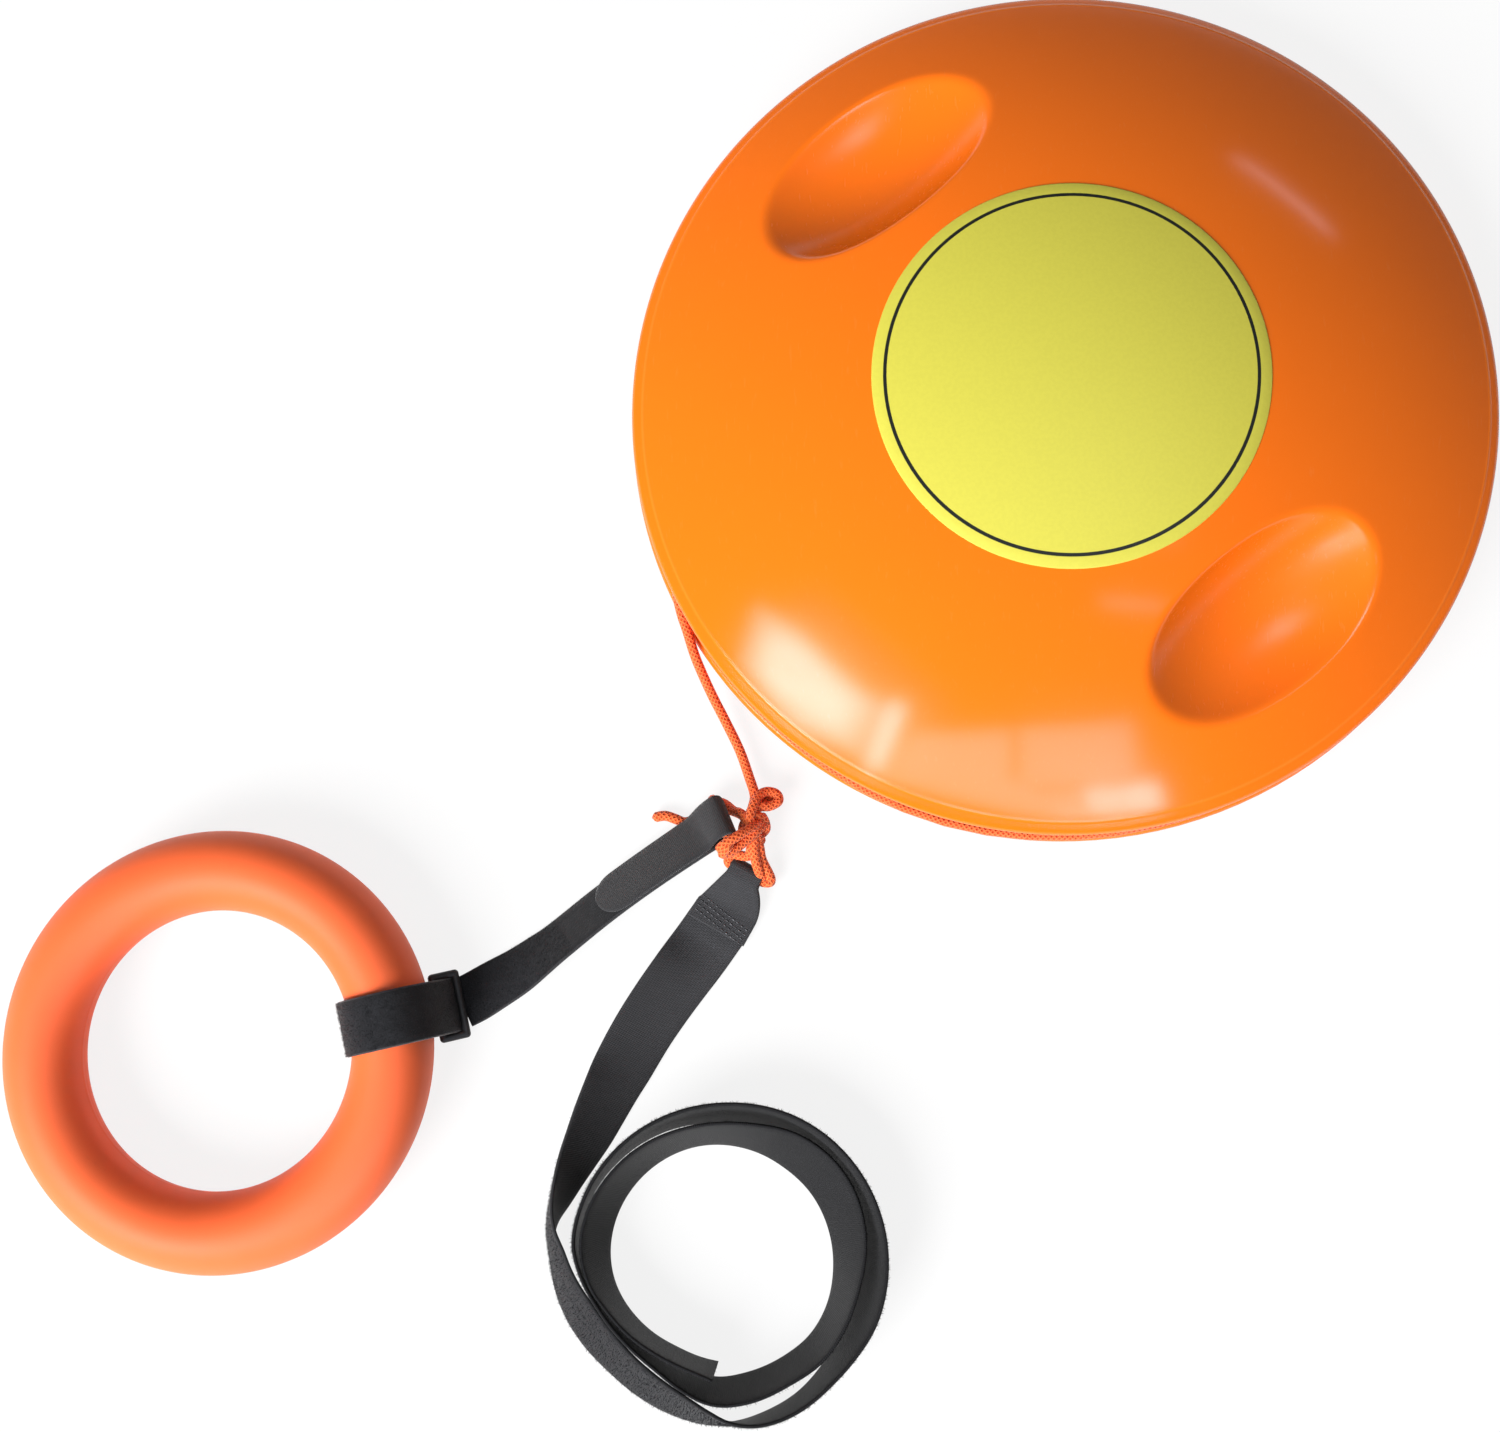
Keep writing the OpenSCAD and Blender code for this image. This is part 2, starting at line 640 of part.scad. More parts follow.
// One strap: the sewn eye round the line, the twisting lead and the coil that stands on its edge
module long_strap() {
    lower_z = strap_t / 2;
    eye_up = [0, 0, 1];
    upper_gap = strap_t + 0.1;
    rise = 2 * fold_r - upper_gap;
    upper = [for (e = eye_upper) eye_end + e[0] * eye_run + (lower_z + upper_gap + rise * e[1]) * eye_up];
    arc = [for (a = [90 : -15 : -90]) eye_centre + fold_r * (cos(a) * eye_run + sin(a) * eye_up)];
    lower = [for (s = [14, 10, 6, 3, 0]) eye_end + s * eye_run + lower_z * eye_up];
    eye_points = concat(upper, arc, lower);
    reach = [for (p = eye_points) max(0, min(1, ((p - eye_end) * eye_run) / (eye_len - 3)))];
    coil = [for (row = smooth(coil_rows, 2)) coil_place(row)];
    rows = concat([[eye_end[0], eye_end[1], 0]], laid(lead_rows), coil);
    path = concat(smooth([for (i = [0 : len(lead_rows) + 1]) rows[i]], 3), [for (i = [1 : len(coil) - 1]) coil[i]]);
    tail = [for (i = [1 : len(path) - 1]) i];
    color("dimgray") strip(
        concat(eye_points, [for (i = tail) ribbon_point(path[i], long_strap_w)]),
        concat([for (p = eye_points) -eye_side], [for (i = tail) -ribbon_side(path, i)]),
        concat([for (u = reach) long_strap_w + (eye_w - long_strap_w) * u * u], [for (i = tail) long_strap_w])
    );
}

top_shell();
bottom_shell();
seal_ring();
shell_screws();
label();
rope_winding();
rope_anchor_knot();
rope_lead();
rope_knot();
rope_ring_bight();
rope_strap_bight();
rope_tail();
hand_ring();
ring_strap_loop();
buckle();
ring_strap();
ring_strap_tab();
long_strap();
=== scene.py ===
"""Rescue throwing disc set: the disc with its wound line, the hand ring on its cinch strap and the coiled strap."""

import json
import math

import bpy
import numpy as np
from bpy.props import FloatProperty, FloatVectorProperty, IntProperty, PointerProperty
from mathutils import Matrix, Vector

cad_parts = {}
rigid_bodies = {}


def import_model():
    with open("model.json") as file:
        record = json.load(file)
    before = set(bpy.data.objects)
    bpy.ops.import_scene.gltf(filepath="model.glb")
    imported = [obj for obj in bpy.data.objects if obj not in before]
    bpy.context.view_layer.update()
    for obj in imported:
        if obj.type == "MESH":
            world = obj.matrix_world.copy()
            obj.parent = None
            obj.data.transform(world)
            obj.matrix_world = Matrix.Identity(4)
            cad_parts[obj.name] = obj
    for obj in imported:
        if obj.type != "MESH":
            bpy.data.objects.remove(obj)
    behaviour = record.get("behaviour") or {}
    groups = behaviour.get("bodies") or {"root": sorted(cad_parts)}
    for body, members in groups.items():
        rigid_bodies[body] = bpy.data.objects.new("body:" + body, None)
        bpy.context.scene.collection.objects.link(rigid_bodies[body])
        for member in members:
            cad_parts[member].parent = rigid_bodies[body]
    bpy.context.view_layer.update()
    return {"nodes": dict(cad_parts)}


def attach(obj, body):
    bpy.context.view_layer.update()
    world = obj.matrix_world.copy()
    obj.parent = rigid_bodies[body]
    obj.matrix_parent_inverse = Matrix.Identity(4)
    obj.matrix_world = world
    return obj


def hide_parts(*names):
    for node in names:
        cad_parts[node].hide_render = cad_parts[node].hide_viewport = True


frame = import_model()
MM = 0.001

bl_info = {
    "name": "Rescue throwing disc",
    "version": (1, 0, 0),
    "blender": (4, 5, 0),
    "location": "View3D > Sidebar > Rescue disc",
    "description": "Makes the covers, line, straps and hand ring of a rescue throwing disc",
    "category": "Object",
}


# Sizes and colours that a user would change


def colour(name, description, default):
    return FloatVectorProperty(
        name=name, description=description, subtype="COLOR", size=3, min=0, max=1, default=default)


def length(name, description, default):
    return FloatProperty(
        name=name, description=description, subtype="DISTANCE", unit="LENGTH", default=default, precision=5)


def fraction(name, description, default):
    return FloatProperty(name=name, description=description, subtype="FACTOR", default=default)


class DiscLooks(bpy.types.PropertyGroup):
    shell: colour("Shell", "Colour of both moulded shells", (0.95, 0.172, 0.004))
    gloss: fraction("Roughness", "Roughness of the moulded shells", 0.118)
    grip_blend: length("Grip edge", "How far a grip recess rounds into the dome", 0.0018)
    film: colour("Label", "Colour of the label's film", (0.63, 0.585, 0.074))
    border: fraction("Border", "Place of the border line, as a share of the label's radius", 0.932)
    border_width: length("Border width", "Width of the label's border line", 0.0013)


class LineLooks(bpy.types.PropertyGroup):
    tint: colour("Line", "Colour of the braided line", (0.93, 0.112, 0.022))
    diameter: length("Diameter", "Diameter of the line", 0.004)
    strands: IntProperty(name="Strands", description="Strands that turn each way in the braid", default=6)
    pitch: length("Braid pitch", "Length in which a strand goes once round", 0.012)
    relief: length("Relief", "Height of a strand in the braid", 0.0004)


class StrapLooks(bpy.types.PropertyGroup):
    woven: colour("Woven face", "Colour of the smooth woven face", (0.042, 0.042, 0.045))
    nap: colour("Looped face", "Colour of the soft looped face", (0.012, 0.012, 0.0135))
    thread: colour("Thread", "Colour of the sewing thread", (0.07, 0.07, 0.075))
    plastic: colour("Buckle", "Colour of the buckle", (0.022, 0.022, 0.023))
    thick: length("Thickness", "Thickness of both straps", 0.0014)
    ring_width: length("Ring strap", "Width of the ring's strap", 0.02)
    long_width: length("Long strap", "Width of the long strap", 0.025)
    nap_length: length("Nap", "Length of a fibre of the looped face", 0.0008)
    nap_density: FloatProperty(
        name="Nap density", description="Fibres on a square metre of the looped face", default=2.2e6)
    stitch: length("Stitch", "Length of a stitch", 0.0017)
    seed: IntProperty(name="Seed", description="Seed of the fibres", default=4)


class RingLooks(bpy.types.PropertyGroup):
    rubber: colour("Rubber", "Colour of the hand ring", (0.98, 0.155, 0.042))
    major: length("Centreline", "Radius of the ring's centreline", 0.069)
    section: length("Section", "Diameter of the ring's section", 0.031)
    parting: length("Parting line", "Height of the mould's parting line", 0.00015)


class StageLooks(bpy.types.PropertyGroup):
    floor: colour("Floor", "Colour of the floor", (0.9, 0.9, 0.9))
    room: FloatProperty(name="Room", description="Brightness of the studio all round", default=0.2)
    key: FloatProperty(name="Key", description="Radiance of the soft key light", default=15.2)
    window: FloatProperty(name="Windows", description="Radiance of the bright window panes", default=11.9)


# Lines, straps and meshes

OFF_LINE = 0.13, 0.21, 1.0  # a direction that no line starts along
TIP_LENGTH, TIP_TAPER = 0.5, 0.75  # rounding of a cut end of line, in its radius
ACROSS, NAP_ACROSS = 9, 5  # points across a strap's face, and across the face that nap grows on
ROUND_OVER = np.radians([45, 0, -45])  # a selvage's rounding
NAP_INSET, NAP_SINK = 0.4, 0.05  # how far nap keeps from the selvage, and starts below the face
UP = np.array([0, 0, 1.0])


def smooth(rows, steps):
    """Curve through rows of numbers, with that many steps between rows."""
    rows = np.array(rows, float)
    q = np.vstack([2 * rows[:1] - rows[1:2], rows, 2 * rows[-1:] - rows[-2:-1]])
    a, b, c, d = (q[i : i + len(rows) - 1, None] for i in range(4))
    u = (np.arange(steps) / steps)[None, :, None]
    made = 0.5 * (2 * b + (c - a) * u + (2 * a - 5 * b + 4 * c - d) * u**2 + (3 * b - a - 3 * c + d) * u**3)
    return np.vstack([made.reshape(-1, rows.shape[1]), rows[-1:]])


def unit(v):
    v = np.asarray(v, float)
    return v / np.linalg.norm(v, axis=-1, keepdims=True)


def runs(points, closed=False):
    """Direction of a line at each of its points."""
    if closed:
        return unit(np.roll(points, -1, 0) - np.roll(points, 1, 0))
    ends = np.vstack([points[:1], points, points[-1:]])
    return unit(ends[2:] - ends[:-2])


def travelled(points, closed=False):
    """Distance along a line at each of its points."""
    steps = np.linalg.norm(np.diff(np.vstack([points, points[:1]]) if closed else points, axis=0), axis=1)
    return np.concatenate([[0], np.cumsum(steps)])


def evenly(points, step):
    """The line again, with points a step apart."""
    at = travelled(points)
    places = np.linspace(0, at[-1], max(2, int(math.ceil(at[-1] / step)) + 1))
    return np.stack([np.interp(places, at, points[:, k]) for k in range(points.shape[1])], axis=1)


def piece(name, verts, faces, finishes, uvs=None, slots=None):
    """A mesh object in metres from points in millimetres."""
    mesh = bpy.data.meshes.new(name)
    mesh.from_pydata((np.asarray(verts, float) * MM).tolist(), [], [list(map(int, f)) for f in faces])
    for finish in finishes:
        mesh.materials.append(finish)
    if slots is not None:
        mesh.polygons.foreach_set("material_index", np.array(slots, np.int32))
    if uvs is not None:
        layer = mesh.uv_layers.new(name="UVMap")
        layer.data.foreach_set("uv", np.concatenate([np.asarray(u, np.float32).ravel() for u in uvs]))
    mesh.polygons.foreach_set("use_smooth", np.ones(len(mesh.polygons), bool))
    mesh.validate()
    mesh.update()
    obj = bpy.data.objects.new(name, mesh)
    bpy.context.scene.collection.objects.link(obj)
    return obj


def grid_faces(rows, columns, closed_rows=False):
    """Faces between rows of points that each close on themselves, with the two indices of every corner."""
    faces, corners = [], []
    for i in range(rows if closed_rows else rows - 1):
        for k in range(columns):
            a, b, c = i * columns, (i + 1) % rows * columns, (k + 1) % columns
            faces.append((a + k, a + c, b + c, b + k))
            corners.append(((i, k), (i, k + 1), (i + 1, k + 1), (i + 1, k)))
    return faces, corners


def turned(radii, heights, around):
    """Rings of points about the disc's axis."""
    angle = np.arange(around) * 2 * np.pi / around
    circle = np.column_stack([np.cos(angle), np.sin(angle)])
    return np.vstack([np.column_stack([circle * r, np.full(around, z)]) for r, z in zip(radii, heights)])


def turned_faces(rows, around):
    """Faces of such rings, with a fan to a point at the first ring and one at the last."""
    faces = [f[::-1] for f in grid_faces(rows, around)[0]]
    crown = rows * around
    for k in range(around):
        n = (k + 1) % around
        faces += [(crown, k, n), (crown + 1, crown - around + n, crown - around + k)]
    return faces


def tube(points, radius, sides=10):
    """Points, faces and braid coordinates of a line along points: turns round it, and millimetres along it."""
    t = runs(points)
    u = np.zeros_like(points)
    u[0] = unit(np.cross(t[0], OFF_LINE))
    for i in range(1, len(points)):
        u[i] = unit(u[i - 1] - t[i] * np.dot(u[i - 1], t[i]))
    v = np.cross(t, u)
    angle = np.arange(sides) * 2 * np.pi / sides
    across, up = (wave(angle)[None, :, None] for wave in (np.cos, np.sin))
    rings = points[:, None] + radius * (across * u[:, None] + up * v[:, None])
    # both ends are rounded over
    first, last = points[0] - t[0] * radius * TIP_LENGTH, points[-1] + t[-1] * radius * TIP_LENGTH
    for end in (0, -1):
        rings[end] = points[end] + (rings[end] - points[end]) * TIP_TAPER
    at = travelled(points)
    faces, corners = grid_faces(len(points), sides)
    uvs = [[(k / sides, at[i]) for i, k in c] for c in corners]
    count = len(points) * sides
    for k in range(sides):
        n = (k + 1) % sides
        faces += [(count, n, k), (count + 1, count - sides + k, count - sides + n)]
        here, there = k / sides, (k + 1) / sides
        uvs += [[(0, 0), (there, 0), (here, 0)], [(0, at[-1]), (here, at[-1]), (there, at[-1])]]
    return np.vstack([rings.reshape(-1, 3), first, last]), faces, uvs


def joined(parts):
    """Several shapes as one."""
    verts, faces, uvs, count = [], [], [], 0
    for v, f, u in parts:
        verts.append(v)
        faces += [tuple(i + count for i in face) for face in f]
        uvs += u
        count += len(v)
    return np.vstack(verts), faces, uvs


def ribbon(path, width, thick):
    """Middle and left-edge direction of a strap that rests on its lower edge. Rows are x, y, roll and lift."""
    t = runs(np.column_stack([path[:, :2], np.zeros(len(path))]))
    roll = np.radians(path[:, 2])
    lift = path[:, 3] if path.shape[1] > 3 else 0
    z = width / 2 * np.abs(np.sin(roll)) + thick / 2 * np.abs(np.cos(roll)) + lift
    left = np.column_stack([-t[:, 1], t[:, 0], np.zeros(len(path))])
    side = np.cos(roll)[:, None] * left + np.sin(roll)[:, None] * UP
    return np.column_stack([path[:, :2], z]), side


def strap(points, sides, widths, thick, closed=False, bow=0.0):
    """Points, faces, coordinates and face kinds of a strap with rounded selvages, bowed across.

    Kinds: 0 upper, 1 lower, 2 edge.
    """
    up = unit(np.cross(runs(points, closed), sides))
    edge = thick / 2
    u = np.linspace(-1, 1, ACROSS)
    place = [(a, 0, edge) for a in u]
    place += [(1, edge * math.cos(a), edge * math.sin(a)) for a in ROUND_OVER]
    place += [(a, 0, -edge) for a in u[::-1]]
    place += [(-1, -edge * math.cos(a), edge * math.sin(a)) for a in -ROUND_OVER]
    place = np.array(place)
    half = np.asarray(widths, float) / 2 - edge
    off = place[None, :, 0] * half[:, None] + place[None, :, 1]
    rise = place[None, :, 2] + np.reshape(bow, (-1, 1)) * (1 - place[None, :, 0] ** 2)
    rings = points[:, None] + off[..., None] * sides[:, None] + rise[..., None] * up[:, None]
    n = len(place)
    edge_faces = [2] * (len(ROUND_OVER) + 1)
    kinds = [0] * (ACROSS - 1) + edge_faces + [1] * (ACROSS - 1) + edge_faces
    faces, corners = grid_faces(len(points), n, closed)
    faces = [f[::-1] for f in faces]
    at = travelled(points, closed)
    uvs = [[(off[i % len(points), k % n], at[i]) for i, k in c[::-1]] for c in corners]
    slots = kinds * (len(points) if closed else len(points) - 1)
    if not closed:
        count = (len(points) - 1) * n
        faces += [tuple(range(n)), tuple(range(count + n - 1, count - 1, -1))]
        uvs += [[(off[0, k], at[0]) for k in range(n)], [(off[-1, k], at[-1]) for k in range(n - 1, -1, -1)]]
        slots += [2, 2]
    return rings.reshape(-1, 3), faces, uvs, slots


def upper_face(points, sides, widths, thick, closed=False, bow=0.0):
    """The upper face of a strap on its own, for what grows on it."""
    up = unit(np.cross(runs(points, closed), sides))
    half = np.asarray(widths, float) / 2 - NAP_INSET
    u = np.linspace(-1, 1, NAP_ACROSS)
    rise = thick / 2 - NAP_SINK + np.reshape(bow, (-1, 1)) * (1 - u[None, :] ** 2)
    grid = points[:, None] + (u[None, :] * half[:, None])[..., None] * sides[:, None] + rise[..., None] * up[:, None]
    rows = len(points)
    faces = []
    for i in range(rows if closed else rows - 1):
        for k in range(NAP_ACROSS - 1):
            a, b = i * NAP_ACROSS + k, (i + 1) % rows * NAP_ACROSS + k
            faces.append((b, b + 1, a + 1, a))
    return grid.reshape(-1, 3), faces


# Materials

RIB, PICK = 0.9, 0.7  # spacing of a tape's ribs and picks, in millimetres
PAINTED_SHADING_RUN = 50.0, 300.0  # where a tape's painted shading, from its lit end to its shaded end, starts and ends, in millimetres along it
GRIP_DEEP, GRIP_SHALLOW = 1.6, 0.3  # depths between which a grip recess turns dull, in millimetres
RIM_LINE = 0.0009  # half the width of the raised line at the rim, which is also painted lighter as a highlight, in metres
CREST_HIGHLIGHT = 1.2, 1.9, 2.6  # how much paler a strand's crest is painted, as a highlight
WINDOW_TINT = 0.8, 0.86, 1.0


def add_node(tree, kind, settings, sockets):
    """The outputs of a new node, with its settings, and its inputs linked to sockets or set to values."""
    made = tree.nodes.new(kind)
    for key, value in (settings or {}).items():
        setattr(made, key, value)
    for key, value in (sockets or {}).items():
        if isinstance(value, bpy.types.NodeSocket):
            tree.links.new(value, made.inputs[key])
        else:
            made.inputs[key].default_value = value
    return made.outputs


class Wire:
    """A socket that can be reckoned with: an expression on wires adds its Math nodes."""

    def __init__(self, finish, socket):
        self.finish, self.socket = finish, socket

    def math(self, operation, *values):
        return self.finish.node("ShaderNodeMath", {"operation": operation}, dict(enumerate(values)))

    def __add__(self, other):
        return self.math("ADD", self, other)

    def __sub__(self, other):
        return self.math("SUBTRACT", self, other)

    def __rsub__(self, other):
        return self.math("SUBTRACT", other, self)

    def __mul__(self, other):
        return self.math("MULTIPLY", self, other)

    __radd__, __rmul__ = __add__, __mul__

    def sin(self):
        return self.math("SINE", self)

    def abs(self):
        return self.math("ABSOLUTE", self)

    def root(self):
        return self.math("SQRT", self)

    def larger(self, other):
        return self.math("MAXIMUM", self, other)

    def between(self, low, high):
        """0 below low, 1 above high, smooth between."""
        return self.finish.node("ShaderNodeMapRange", {"interpolation_type": "SMOOTHSTEP"}, {0: self, 1: low, 2: high})


class Finish:
    """A procedural material, or a world's nodes."""

    def __init__(self, name, world=None):
        self.material = world or bpy.data.materials.new(name)
        self.material.use_nodes = True
        self.tree = self.material.node_tree
        self.tree.nodes.clear()

    def node(self, kind, settings=None, sockets=None, output=0):
        plain = {key: value.socket if isinstance(value, Wire) else value for key, value in (sockets or {}).items()}
        return Wire(self, add_node(self.tree, kind, settings, plain)[output])

    def place(self):
        return self.node("ShaderNodeTexCoord", output="Object")

    def axes(self, vector):
        return [self.node("ShaderNodeSeparateXYZ", sockets={0: vector}, output=k) for k in range(3)]

    def noise(self, vector, scale, detail=2.0, rough=0.5):
        return self.node(
            "ShaderNodeTexNoise", sockets={"Vector": vector, "Scale": scale, "Detail": detail, "Roughness": rough})

    def stretched(self, vector, scale):
        return self.node("ShaderNodeMapping", {"vector_type": "POINT"}, {"Vector": vector, "Scale": scale})

    def mix(self, factor, a, b):
        """Colour a, and b where the factor is 1."""
        a, b = (c if isinstance(c, Wire) else (*c, 1.0) for c in (a, b))
        settings = {"data_type": "RGBA", "clamp_factor": True}
        return self.node("ShaderNodeMix", settings, {0: factor, 6: a, 7: b}, output=2)

    def bump(self, height, distance):
        return self.node("ShaderNodeBump", sockets={"Height": height, "Distance": distance, "Strength": 1.0})

    def surface(self, **sockets):
        shader = {key.replace("_", " "): value for key, value in sockets.items()}
        self.end(self.node("ShaderNodeBsdfPrincipled", sockets=shader))
        return self.material

    def end(self, shader, kind="ShaderNodeOutputMaterial"):
        add_node(self.tree, kind, None, {"Surface": shader.socket})


def shade(rgb, factor):
    return tuple(min(1.0, c * factor) for c in rgb)


def moulded_plastic(name, rgb, rough, lip):
    """Glossy moulded plastic with flow marks, fine scuffs, a slight waviness, a raised line at the rim that is painted
    lighter as a highlight, and duller grips.
    """
    f = Finish(name)
    at = f.place()
    x, y, z = f.axes(at)
    z = z - DOME_Z * MM
    off = ((x * x + y * y).root() - lip).abs()
    ridge_and_painted_highlight = 1.0 - off.between(0.0, RIM_LINE)
    deep, shallow = ((DOME_R - depth) * MM for depth in (GRIP_DEEP, GRIP_SHALLOW))
    recess = 1.0 - (x * x + y * y + z * z).root().between(deep, shallow)
    flow = f.noise(at, 9.0, 3.0).between(0.3, 0.7)
    scuff = f.noise(f.stretched(at, (900.0, 120.0, 900.0)), 1.0, 2.0).between(0.62, 0.78)
    speck = f.noise(at, 2600.0, 1.0)
    base = f.mix(flow * 0.5, shade(rgb, 0.985), shade(rgb, 1.02))
    base = f.mix(scuff * 0.05, base, (0.95, 0.42, 0.18))
    # painted highlight: the line at the rim is coloured paler, besides its bump
    base = f.mix(ridge_and_painted_highlight * 0.15, base, (1.0, 0.36, 0.06))
    wave = f.noise(at, 14.0, 1.0) + speck * 0.01 + ridge_and_painted_highlight * 0.3
    return f.surface(
        Base_Color=base,
        Roughness=rough + scuff * 0.05 + flow * 0.02 + recess * 0.13,
        Normal=f.bump(wave, 0.0003),
        IOR=1.5,
        Specular_IOR_Level=0.5,
    )


def label_film(name, looks, radius):
    """Printed film: a border line on a bare field."""
    f = Finish(name)
    at = f.place()
    x, y, _ = f.axes(at)
    far = (x * x + y * y).root()
    line = (far - looks.border * radius).abs()
    ink = 1 - line.between(looks.border_width * 0.42, looks.border_width * 0.58)
    fibre = f.noise(at, 700.0, 3.0)
    field = f.mix(fibre.between(0.35, 0.65) * 0.6, shade(looks.film, 0.97), shade(looks.film, 1.02))
    return f.surface(
        Base_Color=f.mix(ink, field, (0.012, 0.014, 0.012)),
        Roughness=0.42 + fibre * 0.1 - ink * 0.08,
        Normal=f.bump(fibre, 0.00003),
        Specular_IOR_Level=0.3,
    )


def braided(name, looks):
    """Braid of strands that turn both ways, with lint, painted shade in the gaps and painted highlights on the crests.
    """
    f = Finish(name)
    uv = f.node("ShaderNodeTexCoord", output="UV")
    turn, along, _ = f.axes(uv)
    step = along * (math.tau * looks.strands / (looks.pitch / MM))
    one = (turn * (math.tau * looks.strands) + step).sin()
    two = (turn * (math.tau * looks.strands) - step).sin()
    high = one.larger(two) * 0.5 + 0.5
    lint = f.noise(f.place(), 1500.0, 2.0)
    gap = 1 - high.between(0.1, 0.75)
    tone = f.mix(lint.between(0.3, 0.7), shade(looks.tint, 0.92), shade(looks.tint, 1.12))
    # painted highlight: the crests of the strands are paler
    painted_crest_highlight = tuple(min(1.0, c * k) for c, k in zip(looks.tint, CREST_HIGHLIGHT))
    tone = f.mix(high.between(0.6, 0.95) * 0.85, tone, painted_crest_highlight)
    return f.surface(
        # painted shade: the gaps between strands are darker
        Base_Color=f.mix(gap * 0.8, tone, shade(looks.tint, 0.52)),
        Roughness=0.55 + lint * 0.15,
        Normal=f.bump(high + lint * 0.25, looks.relief),
        Specular_IOR_Level=0.4,
        Sheen_Weight=0.15,
        Sheen_Roughness=0.4,
    )


def ring_rubber(name, looks, centre):
    """Satin rubber with soft mottling, handling marks and the mould's parting line."""
    f = Finish(name)
    at = f.place()
    mottle = f.noise(at, 26.0, 4.0, 0.6)
    mark = f.noise(f.stretched(at, (60.0, 60.0, 160.0)), 1.0, 4.0, 0.65).between(0.63, 0.8)
    pore = f.noise(at, 1900.0, 2.0)
    z = f.axes(at)[2]
    seam = 1 - (z - centre[2]).abs().between(0.0003, 0.0011)
    base = f.mix(mottle.between(0.35, 0.65) * 0.5, shade(looks.rubber, 0.965), shade(looks.rubber, 1.03))
    base = f.mix(mark * 0.14, base, (0.5, 0.055, 0.02))
    return f.surface(
        Base_Color=base,
        Roughness=0.46 + mottle * 0.1 - mark * 0.06,
        Normal=f.bump(seam * (looks.parting / 0.0001) + pore * 0.35 + mottle * 1.2, 0.0001),
        Specular_IOR_Level=0.42,
    )


def woven_tape(name, rgb, sheen, rough, painted_shading=(1.0, 1.0)):
    """Close plain weave with ribs along the tape, in millimetres along and across it. Painted light and shade run from
    end to end of it: the tape is lighter at its first end and darker at its last.
    """
    f = Finish(name)
    uv = f.node("ShaderNodeTexCoord", output="UV")
    across, along, _ = f.axes(uv)
    rib = (across * (math.tau / RIB)).sin()
    pick = (along * (math.tau / PICK) + rib * 0.6).sin()
    weave = rib * pick * 0.5 + 0.5
    lint = f.noise(f.place(), 900.0, 3.0)
    cloud = f.noise(f.place(), 45.0, 3.0)
    # painted light and shade: lighter at the start of the tape and darker at its end, also in the cloud, weave and
    # lint tones below
    tone = f.mix(along.between(*PAINTED_SHADING_RUN), shade(rgb, painted_shading[0]), shade(rgb, painted_shading[1]))
    tone = f.mix(cloud.between(0.3, 0.7) * 0.16, tone, shade(rgb, 1.6 * painted_shading[1]))
    tone = f.mix(weave * 0.5, tone, shade(rgb, 0.5 * painted_shading[1]))
    tone = f.mix(lint.between(0.62, 0.8) * 0.25, tone, shade(rgb, 2.2 * painted_shading[1]))
    return f.surface(
        Base_Color=tone,
        Roughness=rough + lint * 0.14 - weave * 0.06,
        Normal=f.bump(weave + lint * 0.4, 0.00016),
        Specular_IOR_Level=0.08,
        Sheen_Weight=sheen,
        Sheen_Roughness=0.45,
    )


def napped_tape(name, rgb):
    """Ground of the soft looped face: tufts, ruts and lint."""
    f = Finish(name)
    at = f.place()
    tuft = f.node("ShaderNodeTexVoronoi", {"feature": "F1"}, {"Vector": at, "Scale": 1400.0})
    rut = f.noise(at, 260.0, 3.0)
    lint = f.noise(at, 1400.0, 2.0)
    tone = f.mix(rut.between(0.3, 0.7), shade(rgb, 0.85), shade(rgb, 1.2))
    tone = f.mix(lint.between(0.58, 0.75) * 0.4, tone, shade(rgb, 3.0))
    return f.surface(
        Base_Color=tone,
        Roughness=0.8 + lint * 0.15,
        Normal=f.bump(rut * 0.15 + lint * 0.6 - tuft * 0.5, 0.00016),
        Specular_IOR_Level=0.25,
        Sheen_Weight=0.2,
        Sheen_Roughness=0.5,
    )


def fibre_tone(name, rgb):
    """Single fibres, some paler than others."""
    f = Finish(name)
    pale = f.noise(f.place(), 1200.0, 1.0).between(0.45, 0.7)
    return f.surface(
        Base_Color=f.mix(pale, shade(rgb, 0.9), shade(rgb, 2.6)),
        Roughness=0.62 + pale * 0.1,
        Specular_IOR_Level=0.3,
    )


def satin_plastic(name, rgb):
    """Fine-grained black plastic, a little worn and paler where it is rubbed."""
    f = Finish(name)
    at = f.place()
    grain = f.noise(at, 2400.0, 2.0)
    rub = f.noise(at, 240.0, 3.0).between(0.55, 0.75)
    return f.surface(
        Base_Color=f.mix(rub * 0.5, rgb, shade(rgb, 2.4)),
        Roughness=0.42 + grain * 0.16,
        Normal=f.bump(grain, 0.00004),
    )


def screw_steel(name):
    """Turned steel with faint rings."""
    f = Finish(name)
    at = f.place()
    grain = f.noise(f.stretched(at, (1.0, 1.0, 30.0)), 900.0, 2.0)
    return f.surface(
        Base_Color=f.mix(grain.between(0.3, 0.7), (0.5, 0.5, 0.5), (0.62, 0.62, 0.61)),
        Metallic=1.0,
        Roughness=0.28 + grain * 0.16,
        Normal=f.bump(grain, 0.00003),
    )


